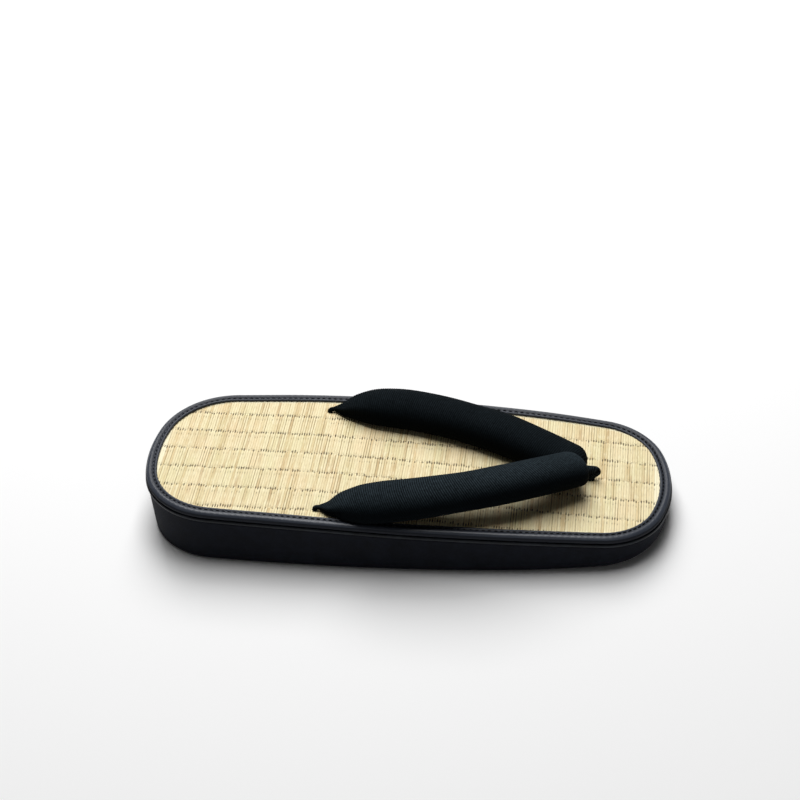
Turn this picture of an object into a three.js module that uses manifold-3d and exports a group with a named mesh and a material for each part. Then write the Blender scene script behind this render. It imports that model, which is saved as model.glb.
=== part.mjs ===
// Zori sandal, flat rush-mat type, standing empty on its sole.
// Millimetres, +Z up, toe towards +X. The origin lies on the floor, halfway along and across the sole.
// Every layer follows one plan outline and one height line, and the straps lie on the top layer.

import * as THREE from 'three';
import { mergeVertices } from 'three/addons/utils/BufferGeometryUtils.js';
import Module from 'manifold-3d';

// Driving dimensions of the sole
const soleLength = 265;
const soleWidth = 107;
const heelHeight = 30.2;
const toeHeight = 15.6;
const toeSpring = 3.4;
const springStart = 186;
const clearance = 0.3;
const holeSides = 20;

// Driving dimensions of the layers, from the top down
const matThickness = 2;
const bindingWidth = 6.2;
const bindingRise = 1.2;
const bindingWall = 1.5;
const midsoleThickness = 1.8;
const foamStep = 0.8;
const foamShoulder = 0.4;
const wallTaper = 0.9;
const bottomRadius = 2;
const bottomCorner = 0.29;
const midsoleSoftness = 0.25;

// Driving dimensions of the straps and the toe post
const anchorFromHeel = 91;
const anchorSpacing = 79;
const anchorStagger = 3.6;
const toeHoleFromHeel = 224.5;
const strapWidth = 26;
const strapDome = 9.6;
const strapBelly = 4;
const strapNose = 7;
const strapSetback = 2.4;
const strapArch = 5.2;
const stemRadius = 1.8;
const pocketDepth = 3;
const postRadius = 2.9;
const postReach = 8.5;
const postRise = 6.4;

// Plan outline: three tangent arcs to each quarter, their radii as shares of the sole's width
const outlineArcs = {
  heel: { end: 0.811, corner: 0.376, side: 11.4 },
  toe: { end: 0.67, corner: 0.328, side: 8.17 },
};
const arcSteps = { side: 7, corner: 9, end: 6 };

// Height line of the mat's face: how far along the sole, and the share of the drop from heel to toe
const heightLine = [
  { along: 0, drop: 0 },
  { along: 0.153, drop: 0.075 },
  { along: 0.326, drop: 0.15 },
  { along: 0.5, drop: 0.31 },
  { along: 0.674, drop: 0.49 },
  { along: 0.847, drop: 0.73 },
  { along: 1, drop: 1 },
];

// Section of the binding as a closed loop. in: share of the binding's width, from the outer edge.
// up: share of the binding's rise over the mat. down: share of the mat's thickness under its face.
const bindingProfile = [
  { in: 1, up: 0.25, down: 0 },
  { in: 1, up: 0.6, down: 0 },
  { in: 0.93, up: 0.93, down: 0 },
  { in: 0.76, up: 1, down: 0 },
  { in: 0.52, up: 1, down: 0 },
  { in: 0.32, up: 0.85, down: 0 },
  { in: 0.16, up: 0.4, down: 0 },
  { in: 0.08, up: 0, down: 0.2 },
  { in: 0.06, up: 0, down: 0.55 },
  { in: 0.14, up: 0, down: 0.9 },
  { in: 0.22, up: 0, down: 1 },
];

// One strap from its rear anchor to its front end. along: share of the way from the anchor to the
// front end. under, over: shares of half the anchor spacing, of the strap that lies under the other
// at the joint and of the one over it. wide, dome, belly: shares of the strap's own width and depths.
// rest: share of the binding's rise between the mat and the underside. lean: degrees that the outer
// edge is turned up. arch: share of the arch that lifts the strap over the other off the mat.
const strapSections = [
  { along: 0.022, under: 1.005, over: 1.005, wide: 0.17, dome: 0.2, belly: 0.42, rest: 0.95, lean: 0, arch: 0 },
  { along: 0.062, under: 1.008, over: 1.008, wide: 0.33, dome: 0.37, belly: 0.55, rest: 0.8, lean: 0, arch: 0 },
  { along: 0.115, under: 1.01, over: 1.018, wide: 0.61, dome: 0.68, belly: 0.8, rest: 0.75, lean: 0, arch: 0.04 },
  { along: 0.185, under: 1, over: 1.025, wide: 0.89, dome: 0.95, belly: 0.95, rest: 0.8, lean: 0, arch: 0.12 },
  { along: 0.265, under: 0.965, over: 1.018, wide: 1, dome: 1.04, belly: 1, rest: 0.8, lean: 0, arch: 0.25 },
  { along: 0.37, under: 0.879, over: 1.002, wide: 0.98, dome: 1.04, belly: 1.1, rest: 0.8, lean: 1, arch: 0.47 },
  { along: 0.54, under: 0.691, over: 0.931, wide: 0.94, dome: 1, belly: 1.25, rest: 1, lean: 2, arch: 0.85 },
  { along: 0.74, under: 0.434, over: 0.735, wide: 0.9, dome: 1, belly: 1.4, rest: 0.9, lean: 4, arch: 1 },
  { along: 0.88, under: 0.256, over: 0.5, wide: 0.88, dome: 0.98, belly: 1.4, rest: 0.7, lean: 4, arch: 0.95 },
  { along: 1, under: 0.09, over: 0.22, wide: 0.88, dome: 0.92, belly: 1.3, rest: 0.6, lean: 3, arch: 0.65 },
];
const archThinning = 0.08;
const archRounding = 0.4;
const noseBluntness = 0.75;
const noseTurns = [20, 40, 60, 78];
const strapStations = 26;
const sectionSides = 18;

// Toe post from the hole up and back into the joint of the straps. forward: share of the reach.
// up: share of the rise. across, front, back: half sizes of its section, as shares of the radius.
const postPath = [
  { forward: 1, up: 0, across: 0.72, front: 0.68, back: 0.8 },
  { forward: 1.1, up: 0.33, across: 0.7, front: 0.8, back: 0.7 },
  { forward: 1.27, up: 0.66, across: 0.5, front: 1, back: 0.45 },
  { forward: 0.8, up: 0.8, across: 0.85, front: 0.68, back: 0.7 },
  { forward: 0, up: 0.88, across: 1, front: 0.8, back: 0.85 },
];
const postStations = 14;
const postReachFade = 4;
const postSides = 14;

// Places that follow from the sizes
const halfLength = soleLength / 2;
const halfWidth = soleWidth / 2;
const anchorY = anchorSpacing / 2;
const toeHoleX = toeHoleFromHeel - halfLength;
const midsoleTop = matThickness + clearance;
const midsoleBottom = midsoleTop + midsoleThickness;
const foamTop = midsoleBottom + clearance;
const stemDepth = foamTop + pocketDepth;
const anchorAt = (side) => anchorFromHeel - side * anchorStagger / 2 - halfLength;

const wasm = await Module();
wasm.setup();

// Height of the mat's face over the floor at x
const heightSpline = new THREE.CubicInterpolant(
  heightLine.map((row) => row.along),
  heightLine.map((row) => row.drop),
  1,
);

function matHeight(x) {
  const along = THREE.MathUtils.clamp(x / soleLength + 0.5, 0, 1);
  return heelHeight - (heelHeight - toeHeight) * heightSpline.evaluate(along)[0];
}

// Height of the tread over the floor at x: flat under heel and ball, then a soft rise to the toe
function treadHeight(x) {
  const start = springStart - halfLength;
  const share = Math.max(0, (x - start) / (halfLength - start));
  return toeSpring * share * share;
}

// One quarter of the outline, from the middle of the side to the tip of the end, inset inwards.
// The corner arc touches the side arc and the end arc from the inside.
function outlineQuarter(arcs, inset) {
  const sideRadius = arcs.side * soleWidth;
  const cornerRadius = arcs.corner * soleWidth;
  const endRadius = arcs.end * soleWidth;
  const sideCentre = new THREE.Vector2(0, halfWidth - sideRadius);
  const endCentre = new THREE.Vector2(halfLength - endRadius, 0);
  const toSide = sideRadius - cornerRadius;
  const toEnd = endRadius - cornerRadius;
  const apart = endCentre.clone().sub(sideCentre);
  const span = apart.length();
  const foot = (toSide * toSide - toEnd * toEnd + span * span) / (2 * span);
  const offset = Math.sqrt(toSide * toSide - foot * foot);
  apart.normalize();
  const cornerCentre = sideCentre.clone()
    .addScaledVector(apart, foot)
    .addScaledVector(new THREE.Vector2(apart.y, -apart.x), offset);
  const sideEnd = cornerCentre.clone().sub(sideCentre).angle();
  const cornerEnd = cornerCentre.clone().sub(endCentre).angle();
  const arc = (centre, radius, from, to, steps) =>
    new THREE.EllipseCurve(centre.x, centre.y, radius, radius, from, to, true).getPoints(steps);
  return [
    ...arc(sideCentre, sideRadius - inset, Math.PI / 2, sideEnd, arcSteps.side).slice(0, -1),
    ...arc(cornerCentre, cornerRadius - inset, sideEnd, cornerEnd, arcSteps.corner).slice(0, -1),
    ...arc(endCentre, endRadius - inset, cornerEnd, 0, arcSteps.end),
  ];
}

// The whole outline as a closed ring of points: from the heel along one side to the toe and back
function outlineRing(inset, heightAt) {
  const toe = outlineQuarter(outlineArcs.toe, inset);
  const heel = outlineQuarter(outlineArcs.heel, inset).map((p) => new THREE.Vector2(-p.x, p.y));
  const side = [...heel.reverse(), ...toe.slice(1)];
  side[0].y = 0;
  side[side.length - 1].y = 0;
  const back = side.slice(1, -1).reverse().map((p) => new THREE.Vector2(p.x, -p.y));
  return [...side, ...back].map((p) => new THREE.Vector3(p.x, p.y, heightAt(p.x)));
}

// A closed surface through rings with the same number of points, its faces turned outwards.
// ends 'loop' joins the last ring to the first, 'plate' closes each end ring with strips across
// the sole, and 'tube' closes each end ring with a fan around its middle.
function surfaceThroughRings(rings, ends) {
  const count = rings[0].length;
  const points = rings.flat();
  const faces = [];
  const bands = ends === 'loop' ? rings.length : rings.length - 1;
  for (let band = 0; band < bands; band += 1) {
    const low = band * count;
    const high = ((band + 1) % rings.length) * count;
    for (let i = 0; i < count; i += 1) {
      const next = (i + 1) % count;
      faces.push([low + i, low + next, high + next], [low + i, high + next, high + i]);
    }
  }
  const closeEnd = (start, turned) => {
    const cap = [];
    if (ends === 'plate') {
      for (let i = 0; i < count / 2; i += 1) {
        const opposite = (count - i) % count;
        const nextOpposite = count - i - 1;
        if (i + 1 !== nextOpposite) cap.push([i, nextOpposite, i + 1]);
        if (i !== opposite) cap.push([i, opposite, nextOpposite]);
      }
    } else {
      const ring = points.slice(start, start + count);
      const middle = ring.reduce((sum, p) => sum.add(p), new THREE.Vector3()).divideScalar(count);
      points.push(middle);
      for (let i = 0; i < count; i += 1) {
        cap.push([points.length - 1 - start, (i + 1) % count, i]);
      }
    }
    for (const [a, b, c] of cap) {
      faces.push(turned ? [start + a, start + c, start + b] : [start + a, start + b, start + c]);
    }
  };
  if (ends !== 'loop') {
    closeEnd(0, false);
    closeEnd((rings.length - 1) * count, true);
  }
  const volume = faces.reduce(
    (sum, [a, b, c]) => sum + points[a].dot(points[b].clone().cross(points[c])),
    0,
  );
  const outward = volume > 0 ? faces : faces.map(([a, b, c]) => [a, c, b]);
  const geometry = new THREE.BufferGeometry().setFromPoints(points);
  geometry.setIndex(outward.flat());
  return geometry;
}

// Manifold solids for the cuts and joins, and back to geometry
function toSolid(geometry) {
  const bare = geometry.clone();
  bare.deleteAttribute('normal');
  bare.deleteAttribute('uv');
  const merged = mergeVertices(bare, 1e-4);
  return new wasm.Manifold(new wasm.Mesh({
    numProp: 3,
    vertProperties: new Float32Array(merged.attributes.position.array),
    triVerts: new Uint32Array(merged.index.array),
  }));
}

function toGeometry(solid) {
  const mesh = solid.getMesh();
  const geometry = new THREE.BufferGeometry();
  geometry.setAttribute('position', new THREE.BufferAttribute(mesh.vertProperties, mesh.numProp));
  geometry.setIndex(new THREE.BufferAttribute(mesh.triVerts, 1));
  return geometry;
}

// An upright cylinder whose top face stands well over the mat, for the holes of stems and post
function uprightHole(x, y, radius, depth) {
  const over = strapBelly;
  const cylinder = new THREE.CylinderGeometry(radius, radius, depth + over, holeSides);
  cylinder.rotateX(Math.PI / 2);
  cylinder.translate(x, y, matHeight(x) + over / 2 - depth / 2);
  return toSolid(cylinder);
}

function cutHoles(solid) {
  const depth = stemDepth + clearance;
  return solid
    .subtract(uprightHole(anchorAt(1), anchorY, stemRadius + clearance, depth))
    .subtract(uprightHole(anchorAt(-1), -anchorY, stemRadius + clearance, depth))
    .subtract(uprightHole(toeHoleX, 0, postRadius + clearance, depth));
}

// Foam outsole: straight-cut wall with a step under the midsole, and a soft edge at the tread
function outsole() {
  const wall = (share) => (x) => THREE.MathUtils.lerp(
    treadHeight(x) + bottomRadius,
    matHeight(x) - foamTop - foamStep,
    share,
  );
  const edge = foamStep + wallTaper;
  const rings = [
    outlineRing(edge + bottomRadius, treadHeight),
    outlineRing(edge + bottomRadius * bottomCorner, (x) => treadHeight(x) + bottomRadius * bottomCorner),
    outlineRing(edge, wall(0)),
    outlineRing(foamStep, wall(1)),
    outlineRing(foamStep + foamShoulder, (x) => matHeight(x) - foamTop),
  ];
  return toGeometry(cutHoles(toSolid(surfaceThroughRings(rings, 'plate'))));
}

// Midsole sheet, the thin lip that stands proud all round
function midsole() {
  const soft = midsoleThickness * midsoleSoftness;
  const at = (depth) => (x) => matHeight(x) - depth;
  const rings = [
    outlineRing(soft, at(midsoleBottom)),
    outlineRing(0, at(midsoleBottom - soft)),
    outlineRing(0, at(midsoleTop + soft)),
    outlineRing(soft, at(midsoleTop)),
  ];
  return toGeometry(cutHoles(toSolid(surfaceThroughRings(rings, 'plate'))));
}

// Rush mat, the insole that the foot stands on
function rushMat() {
  const edge = bindingWall + clearance;
  const rings = [
    outlineRing(edge, (x) => matHeight(x) - matThickness),
    outlineRing(edge, matHeight),
  ];
  return toGeometry(cutHoles(toSolid(surfaceThroughRings(rings, 'plate'))));
}

// Binding that folds over the mat's edge, from its inner edge over the top and down the side
function binding() {
  const folded = bindingProfile.map((row) => ({
    inset: row.in * bindingWidth,
    rise: row.up * bindingRise - row.down * matThickness,
  }));
  folded.push(
    { inset: bindingWall, rise: -matThickness },
    { inset: bindingWall, rise: bindingProfile[0].up * bindingRise },
  );
  const rings = folded.map(({ inset, rise }) => outlineRing(inset, (x) => matHeight(x) + rise));
  return surfaceThroughRings(rings, 'loop');
}

// Ring of a padded section: a dome over the seam line and a flatter belly under it
function paddedRing(centre, across, over, half, dome, belly, sides) {
  return Array.from({ length: sides }, (_, i) => {
    const angle = (2 * Math.PI * i) / sides;
    const depth = Math.sin(angle) > 0 ? dome : belly;
    return centre.clone()
      .addScaledVector(across, half * Math.cos(angle))
      .addScaledVector(over, depth * Math.sin(angle));
  });
}

// One padded strap. side is 1 or -1. The strap on the -1 side lies over the other at the joint.
function strap(side) {
  const anchorX = anchorAt(side);
  const rows = strapSections.map((row) => {
    const arch = side > 0 ? 0 : row.arch;
    const out = side > 0 ? row.under : row.over;
    const x = THREE.MathUtils.lerp(anchorX, toeHoleX - strapSetback - strapNose, row.along);
    const belly = row.belly * strapBelly * (1 + archRounding * arch);
    const z = matHeight(x) + row.rest * bindingRise + belly + strapArch * arch;
    return {
      centre: new THREE.Vector3(x, side * out * anchorY, z),
      half: row.wide * strapWidth / 2,
      dome: row.dome * strapDome * (1 - archThinning * arch),
      belly,
      lean: side * THREE.MathUtils.degToRad(row.lean),
    };
  });
  const stem = (depth) => ({
    centre: new THREE.Vector3(anchorX, side * anchorY, matHeight(anchorX) - depth),
    half: stemRadius,
    dome: stemRadius,
    belly: stemRadius,
    lean: 0,
  });
  const path = [stem(stemDepth), stem(0), ...rows];
  const line = new THREE.CatmullRomCurve3(path.map((row) => row.centre), false, 'centripetal');
  const sizes = new THREE.CubicInterpolant(
    path.map((_, i) => i / (path.length - 1)),
    path.flatMap((row) => [row.half, row.dome, row.belly, row.lean]),
    4,
  );
  const firstLevel = 2 / (path.length - 1);
  const up = new THREE.Vector3(0, 0, 1);
  const rings = [];
  const addRing = (t, shrink, ahead) => {
    const tangent = line.getTangent(t);
    const run = line.getTangent(Math.max(t, firstLevel)).setZ(0).normalize();
    const level = up.clone().cross(run);
    const over = tangent.clone().cross(level).normalize();
    const [half, dome, belly, lean] = sizes.evaluate(t);
    level.applyAxisAngle(tangent, lean);
    over.applyAxisAngle(tangent, lean);
    const centre = line.getPoint(t).addScaledVector(tangent, ahead);
    rings.push(paddedRing(
      centre, level, over, half * shrink, dome * shrink, belly * shrink, sectionSides,
    ));
  };
  for (let i = 0; i < strapStations; i += 1) {
    addRing(i / (strapStations - 1), 1, 0);
  }
  for (const turn of noseTurns) {
    const angle = THREE.MathUtils.degToRad(turn);
    addRing(1, Math.cos(angle) ** noseBluntness, strapNose * Math.sin(angle));
  }
  return surfaceThroughRings(rings, 'tube');
}

// Toe post: a bent cord from its hole up in front of the joint and back into it
function toePost(extra) {
  const floor = matHeight(toeHoleX);
  const start = toeHoleX - postReach;
  const rows = postPath.map((row) => ({
    centre: new THREE.Vector3(start + row.forward * postReach, 0, floor + row.up * postRise),
    section: [row.across, row.back, row.front].map((share) => share * postRadius),
  }));
  const foot = {
    centre: new THREE.Vector3(toeHoleX, 0, floor - stemDepth - extra),
    section: rows[0].section,
  };
  const path = [foot, ...rows];
  const line = new THREE.CatmullRomCurve3(path.map((row) => row.centre), false, 'centripetal');
  const sizes = new THREE.CubicInterpolant(
    path.map((_, i) => i / (path.length - 1)),
    path.flatMap((row) => row.section),
    3,
  );
  const level = new THREE.Vector3(0, 1, 0);
  const rings = [];
  for (let i = 0; i < postStations; i += 1) {
    const t = i / (postStations - 1);
    const tangent = line.getTangent(t);
    const centre = line.getPoint(t).addScaledVector(tangent, extra * t ** postReachFade);
    const inner = tangent.clone().cross(level);
    const [half, back, front] = Array.from(sizes.evaluate(t), (size) => size + extra);
    rings.push(paddedRing(centre, level, inner, half, back, front, postSides));
  }
  return surfaceThroughRings(rings, 'tube');
}

// Both straps as one joined piece, with room left for the post
function strapPair() {
  return toGeometry(
    toSolid(strap(1)).add(toSolid(strap(-1))).subtract(toSolid(toePost(clearance))),
  );
}

const finishes = {
  foam: new THREE.MeshStandardMaterial({ color: 0x17181d, roughness: 0.82, metalness: 0 }),
  sheet: new THREE.MeshStandardMaterial({ color: 0x34363f, roughness: 0.5, metalness: 0 }),
  rush: new THREE.MeshStandardMaterial({ color: 0xdcc896, roughness: 0.7, metalness: 0 }),
  leather: new THREE.MeshStandardMaterial({ color: 0x2c2e38, roughness: 0.42, metalness: 0 }),
  cloth: new THREE.MeshStandardMaterial({ color: 0x161b1f, roughness: 0.9, metalness: 0 }),
};

const sandal = new THREE.Group();

function addPiece(name, geometry, finish) {
  const mesh = new THREE.Mesh(geometry, finish);
  mesh.name = name;
  sandal.add(mesh);
}

addPiece('outsole', outsole(), finishes.foam);
addPiece('midsole', midsole(), finishes.sheet);
addPiece('mat_insole', rushMat(), finishes.rush);
addPiece('edge_binding', binding(), finishes.leather);
addPiece('strap_upper', strapPair(), finishes.cloth);
addPiece('toe_post', toePost(0), finishes.cloth);

export default sandal;
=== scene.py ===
"""Zori sandal: the looks of a foam sole, a bound rush mat and two padded straps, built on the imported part.

Every size of the sandal is in millimetres in the part's own frame, +X to the toe and +Z up, and becomes
metres where a mesh or a finish is made. A surface is a profile carried along the sole's outline, a
section carried along a strap's line, or a sheet over a grid, worked out as whole arrays.
"""

import logging  # noqa: E402
import math  # noqa: E402
from dataclasses import astuple, dataclass  # noqa: E402
from enum import Enum  # noqa: E402

import bpy  # noqa: E402
import numpy as np  # noqa: E402
from mathutils import Matrix  # noqa: E402

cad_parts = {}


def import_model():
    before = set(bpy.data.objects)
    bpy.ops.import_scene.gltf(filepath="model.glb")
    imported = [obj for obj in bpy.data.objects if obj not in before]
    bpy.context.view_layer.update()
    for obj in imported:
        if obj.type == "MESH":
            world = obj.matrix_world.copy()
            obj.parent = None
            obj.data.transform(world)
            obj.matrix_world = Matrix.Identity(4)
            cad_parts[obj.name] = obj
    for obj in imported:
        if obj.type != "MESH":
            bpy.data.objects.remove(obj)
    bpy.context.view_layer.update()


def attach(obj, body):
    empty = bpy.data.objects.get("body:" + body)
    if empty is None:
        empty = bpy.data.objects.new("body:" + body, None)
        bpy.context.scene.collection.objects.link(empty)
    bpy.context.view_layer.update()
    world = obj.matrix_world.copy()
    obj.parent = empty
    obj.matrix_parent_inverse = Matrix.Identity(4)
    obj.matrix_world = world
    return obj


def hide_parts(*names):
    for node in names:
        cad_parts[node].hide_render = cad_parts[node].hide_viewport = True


LOG = logging.getLogger("zori_sandal")
MM = 0.001
Array = np.ndarray

# How far round the section the lean of a strap's ribs is turned, in its skin and in its cloth.
RIB_PHASE = 0.6


class Slot(Enum):
    """The record's material slots."""

    FOAM = "foam_sole"
    SHEET = "midsole_sheet"
    RUSH = "rush"
    LEATHER = "binding_leather"
    CLOTH = "strap_cloth"
    POST = "post_cloth"


class Side(Enum):
    """Which of the two straps: the far one lies under the near one at the joint."""

    FAR = 1
    NEAR = -1


# Curves


class CubicLine:
    """A smooth line through values at knots, the same cubic as the part's own height line."""

    def __init__(self, knots: Array, values: Array) -> None:
        """Keeps the knots and their values.

        Args:
            knots: rising positions, one per value.
            values: one number or one row of numbers per knot.
        """
        self.knots = np.asarray(knots, float)
        self.values = np.asarray(values, float).reshape(len(self.knots), -1)

    def at(self, places: Array) -> Array:
        """Reads the line.

        Between two knots it is a cubic whose end slopes are half differences of the neighbours, weighted
        by the knots' distances, with no curvature at the two ends.

        Args:
            places: positions along the knots.

        Returns:
            One row of values per position.
        """
        knots, values = self.knots, self.values
        places = np.clip(np.asarray(places, float), knots[0], knots[-1])
        high = np.clip(np.searchsorted(knots, places, side="right"), 1, len(knots) - 1)
        low = high - 1
        first, last = low == 0, high == len(knots) - 1
        before, after = np.where(first, high, low - 1), np.where(last, low, high + 1)
        start, end = knots[low], knots[high]
        half = (end - start) / 2
        weight_before = half / (start - np.where(first, end, knots[before]))
        weight_after = half / (np.where(last, start, knots[after]) - end)
        p = (places - start) / (end - start)
        square, cube = p * p, p * p * p
        shares = (
            (-cube + 2 * square - p) * weight_before,
            (1 + weight_before) * cube - (1.5 + 2 * weight_before) * square + (weight_before - 0.5) * p + 1,
            -(1 + weight_after) * cube + (1.5 + weight_after) * square + 0.5 * p,
            (cube - square) * weight_after,
        )
        rows = (values[before], values[low], values[high], values[after])
        return sum(share[:, None] * row for share, row in zip(shares, rows))


class CentripetalLine:
    """A line through points in space that neither loops nor overshoots: centripetal Catmull-Rom."""

    def __init__(self, points: Array) -> None:
        """Keeps the points, with one more before the first and one after the last in line with them."""
        points = np.asarray(points, float)
        before, after = 2 * points[0] - points[1], 2 * points[-1] - points[-2]
        self.points = np.vstack([before, points, after])
        self.spans = len(points) - 1

    def at(self, share: Array) -> tuple[Array, Array]:
        """Places and directions along the line.

        Args:
            share: 0 at the first point and 1 at the last, each span taking the same share.

        Returns:
            The points, and the unit tangents.
        """
        along = np.clip(np.asarray(share, float), 0, 1) * self.spans
        span = np.minimum(along.astype(int), self.spans - 1)
        w = (along - span)[:, None]
        p = [self.points[span + i] for i in range(4)]
        gap = [np.sqrt(np.linalg.norm(p[i + 1] - p[i], axis=1))[:, None] for i in range(3)]
        slope_in = (p[1] - p[0]) / gap[0] - (p[2] - p[0]) / (gap[0] + gap[1]) + (p[2] - p[1]) / gap[1]
        slope_out = (p[2] - p[1]) / gap[1] - (p[3] - p[1]) / (gap[1] + gap[2]) + (p[3] - p[2]) / gap[2]
        a, b = slope_in * gap[1], slope_out * gap[1]
        c = -3 * p[1] + 3 * p[2] - 2 * a - b
        d = 2 * p[1] - 2 * p[2] + a + b
        place = p[1] + a * w + c * w**2 + d * w**3
        run = a + 2 * c * w + 3 * d * w**2
        return place, run / np.linalg.norm(run, axis=1, keepdims=True)


def soft_step(value: Array, low: float, high: float) -> Array:
    """0 under low, 1 over high and a smooth rise between them."""
    share = np.clip((value - low) / (high - low), 0, 1)
    return share * share * (3 - 2 * share)


def bump_at(value: Array, centre: float, width: float) -> Array:
    """A soft bell of height 1 at centre, that has fallen to a third at width from it."""
    return np.exp(-(((value - centre) / width) ** 2))


# Meshes


@dataclass
class Shell:
    """A closed surface: its points in millimetres, its faces, and one pair of cloth lengths per point."""

    points: Array
    faces: list[list[int]]
    weave: Array | None = None

    def outward(self) -> "Shell":
        """The same shell with its faces turned outwards, by the sign of the volume that they enclose."""
        fans = [(face[0], face[i], face[i + 1]) for face in self.faces for i in range(1, len(face) - 1)]
        corner = self.points[np.array(fans)]
        volume = np.einsum("ij,ij->i", corner[:, 0], np.cross(corner[:, 1], corner[:, 2])).sum()
        if volume < 0:
            self.faces = [face[::-1] for face in self.faces]
        return self


def band_faces(rings: int, count: int, joined: bool) -> Array:
    """Quads between rings that each have count points and close on themselves.

    Args:
        rings: how many rings.
        count: points in a ring.
        joined: whether the last ring also meets the first.

    Returns:
        One row of four point numbers per quad.
    """
    low = np.arange(rings if joined else rings - 1)[:, None] * count
    high = (low + count) % (rings * count)
    here = np.arange(count)[None, :]
    beside = (here + 1) % count
    return np.stack([low + here, low + beside, high + beside, high + here], axis=-1).reshape(-1, 4)


def plate_faces(start: int, count: int) -> list[list[int]]:
    """Strips straight across the sole that close one outline ring, from heel to toe."""
    near = np.arange(1, count // 2 - 1)
    quads = np.stack([near, near + 1, count - near - 1, count - near], axis=-1)
    middle = count // 2
    ends = [[0, 1, count - 1], [middle - 1, middle, middle + 1]]
    return (quads + start).tolist() + [[start + i for i in end] for end in ends]


def tube_faces(copies: int, rings: int, count: int) -> list[list[int]]:
    """Faces of equal tubes, one after the other: quads between the rings and a flat cap at each end.

    Args:
        copies: how many tubes.
        rings: rings in a tube.
        count: points in a ring.

    Returns:
        The point numbers of every face.
    """
    starts = (np.arange(copies) * rings * count)[:, None, None]
    ring = np.arange(count)
    caps = np.stack([ring[::-1], ring + (rings - 1) * count])
    walls = (band_faces(rings, count, False)[None] + starts).reshape(-1, 4)
    return walls.tolist() + (caps[None] + starts).reshape(-1, count).tolist()


def swept(place: Array, level: Array, over: Array, across: Array, up: Array) -> Array:
    """A section carried along a line: place + level * across + over * up for each ring and point.

    Args:
        place: the line's points.
        level: the unit vector across the line, at each of its points.
        over: the unit vector over the line, at each of its points.
        across: the section's lengths along level, one row per ring.
        up: the same along over.

    Returns:
        The points, one row per ring.
    """
    return place[:, None] + level[:, None] * across[..., None] + over[:, None] * up[..., None]


def paired(along: Array, around: Array) -> Array:
    """One pair of cloth lengths per point, from two arrays that spread over each other."""
    return np.stack(np.broadcast_arrays(along, around), axis=-1).reshape(-1, 2)


def add_object(name: str, data: bpy.types.ID) -> bpy.types.Object:
    """Makes an object of a mesh, a light or a camera, and links it to the scene."""
    made = bpy.data.objects.new(name, data)
    bpy.context.scene.collection.objects.link(made)
    return made


def add_piece(name: str, shell: Shell, material: bpy.types.Material,
              replaced: tuple[str, ...] = (), crease: float = 50.0) -> bpy.types.Object:
    """Makes a mesh object from a shell and hangs it on the part's one body.

    Args:
        name: the piece's name.
        shell: its surface in millimetres.
        material: its finish.
        replaced: the part's nodes that it stands for.
        crease: the angle in degrees over which an edge is drawn sharp.

    Returns:
        The object, which sits at the origin.
    """
    mesh = bpy.data.meshes.new(name)
    mesh.from_pydata((shell.points * MM).tolist(), [], shell.faces)
    mesh.polygons.foreach_set("use_smooth", np.ones(len(mesh.polygons), bool))
    if shell.weave is not None:
        corner = np.zeros(len(mesh.loops), np.int32)
        mesh.loops.foreach_get("vertex_index", corner)
        mesh.uv_layers.new(name="weave").data.foreach_set("uv", (shell.weave[corner] * MM).ravel())
    mesh.update()
    mesh.set_sharp_from_angle(angle=math.radians(crease))
    mesh.materials.append(material)
    piece = add_object(name, mesh)
    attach(piece, "root")
    if replaced:
        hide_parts(*replaced)
    LOG.info("%s: %d faces", name, len(mesh.polygons))
    return piece


# The sole's own form


@dataclass(frozen=True)
class EndArcs:
    """The radii of the three arcs of one end of the outline, as shares of the sole's width."""

    end: float
    corner: float
    side: float


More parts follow.
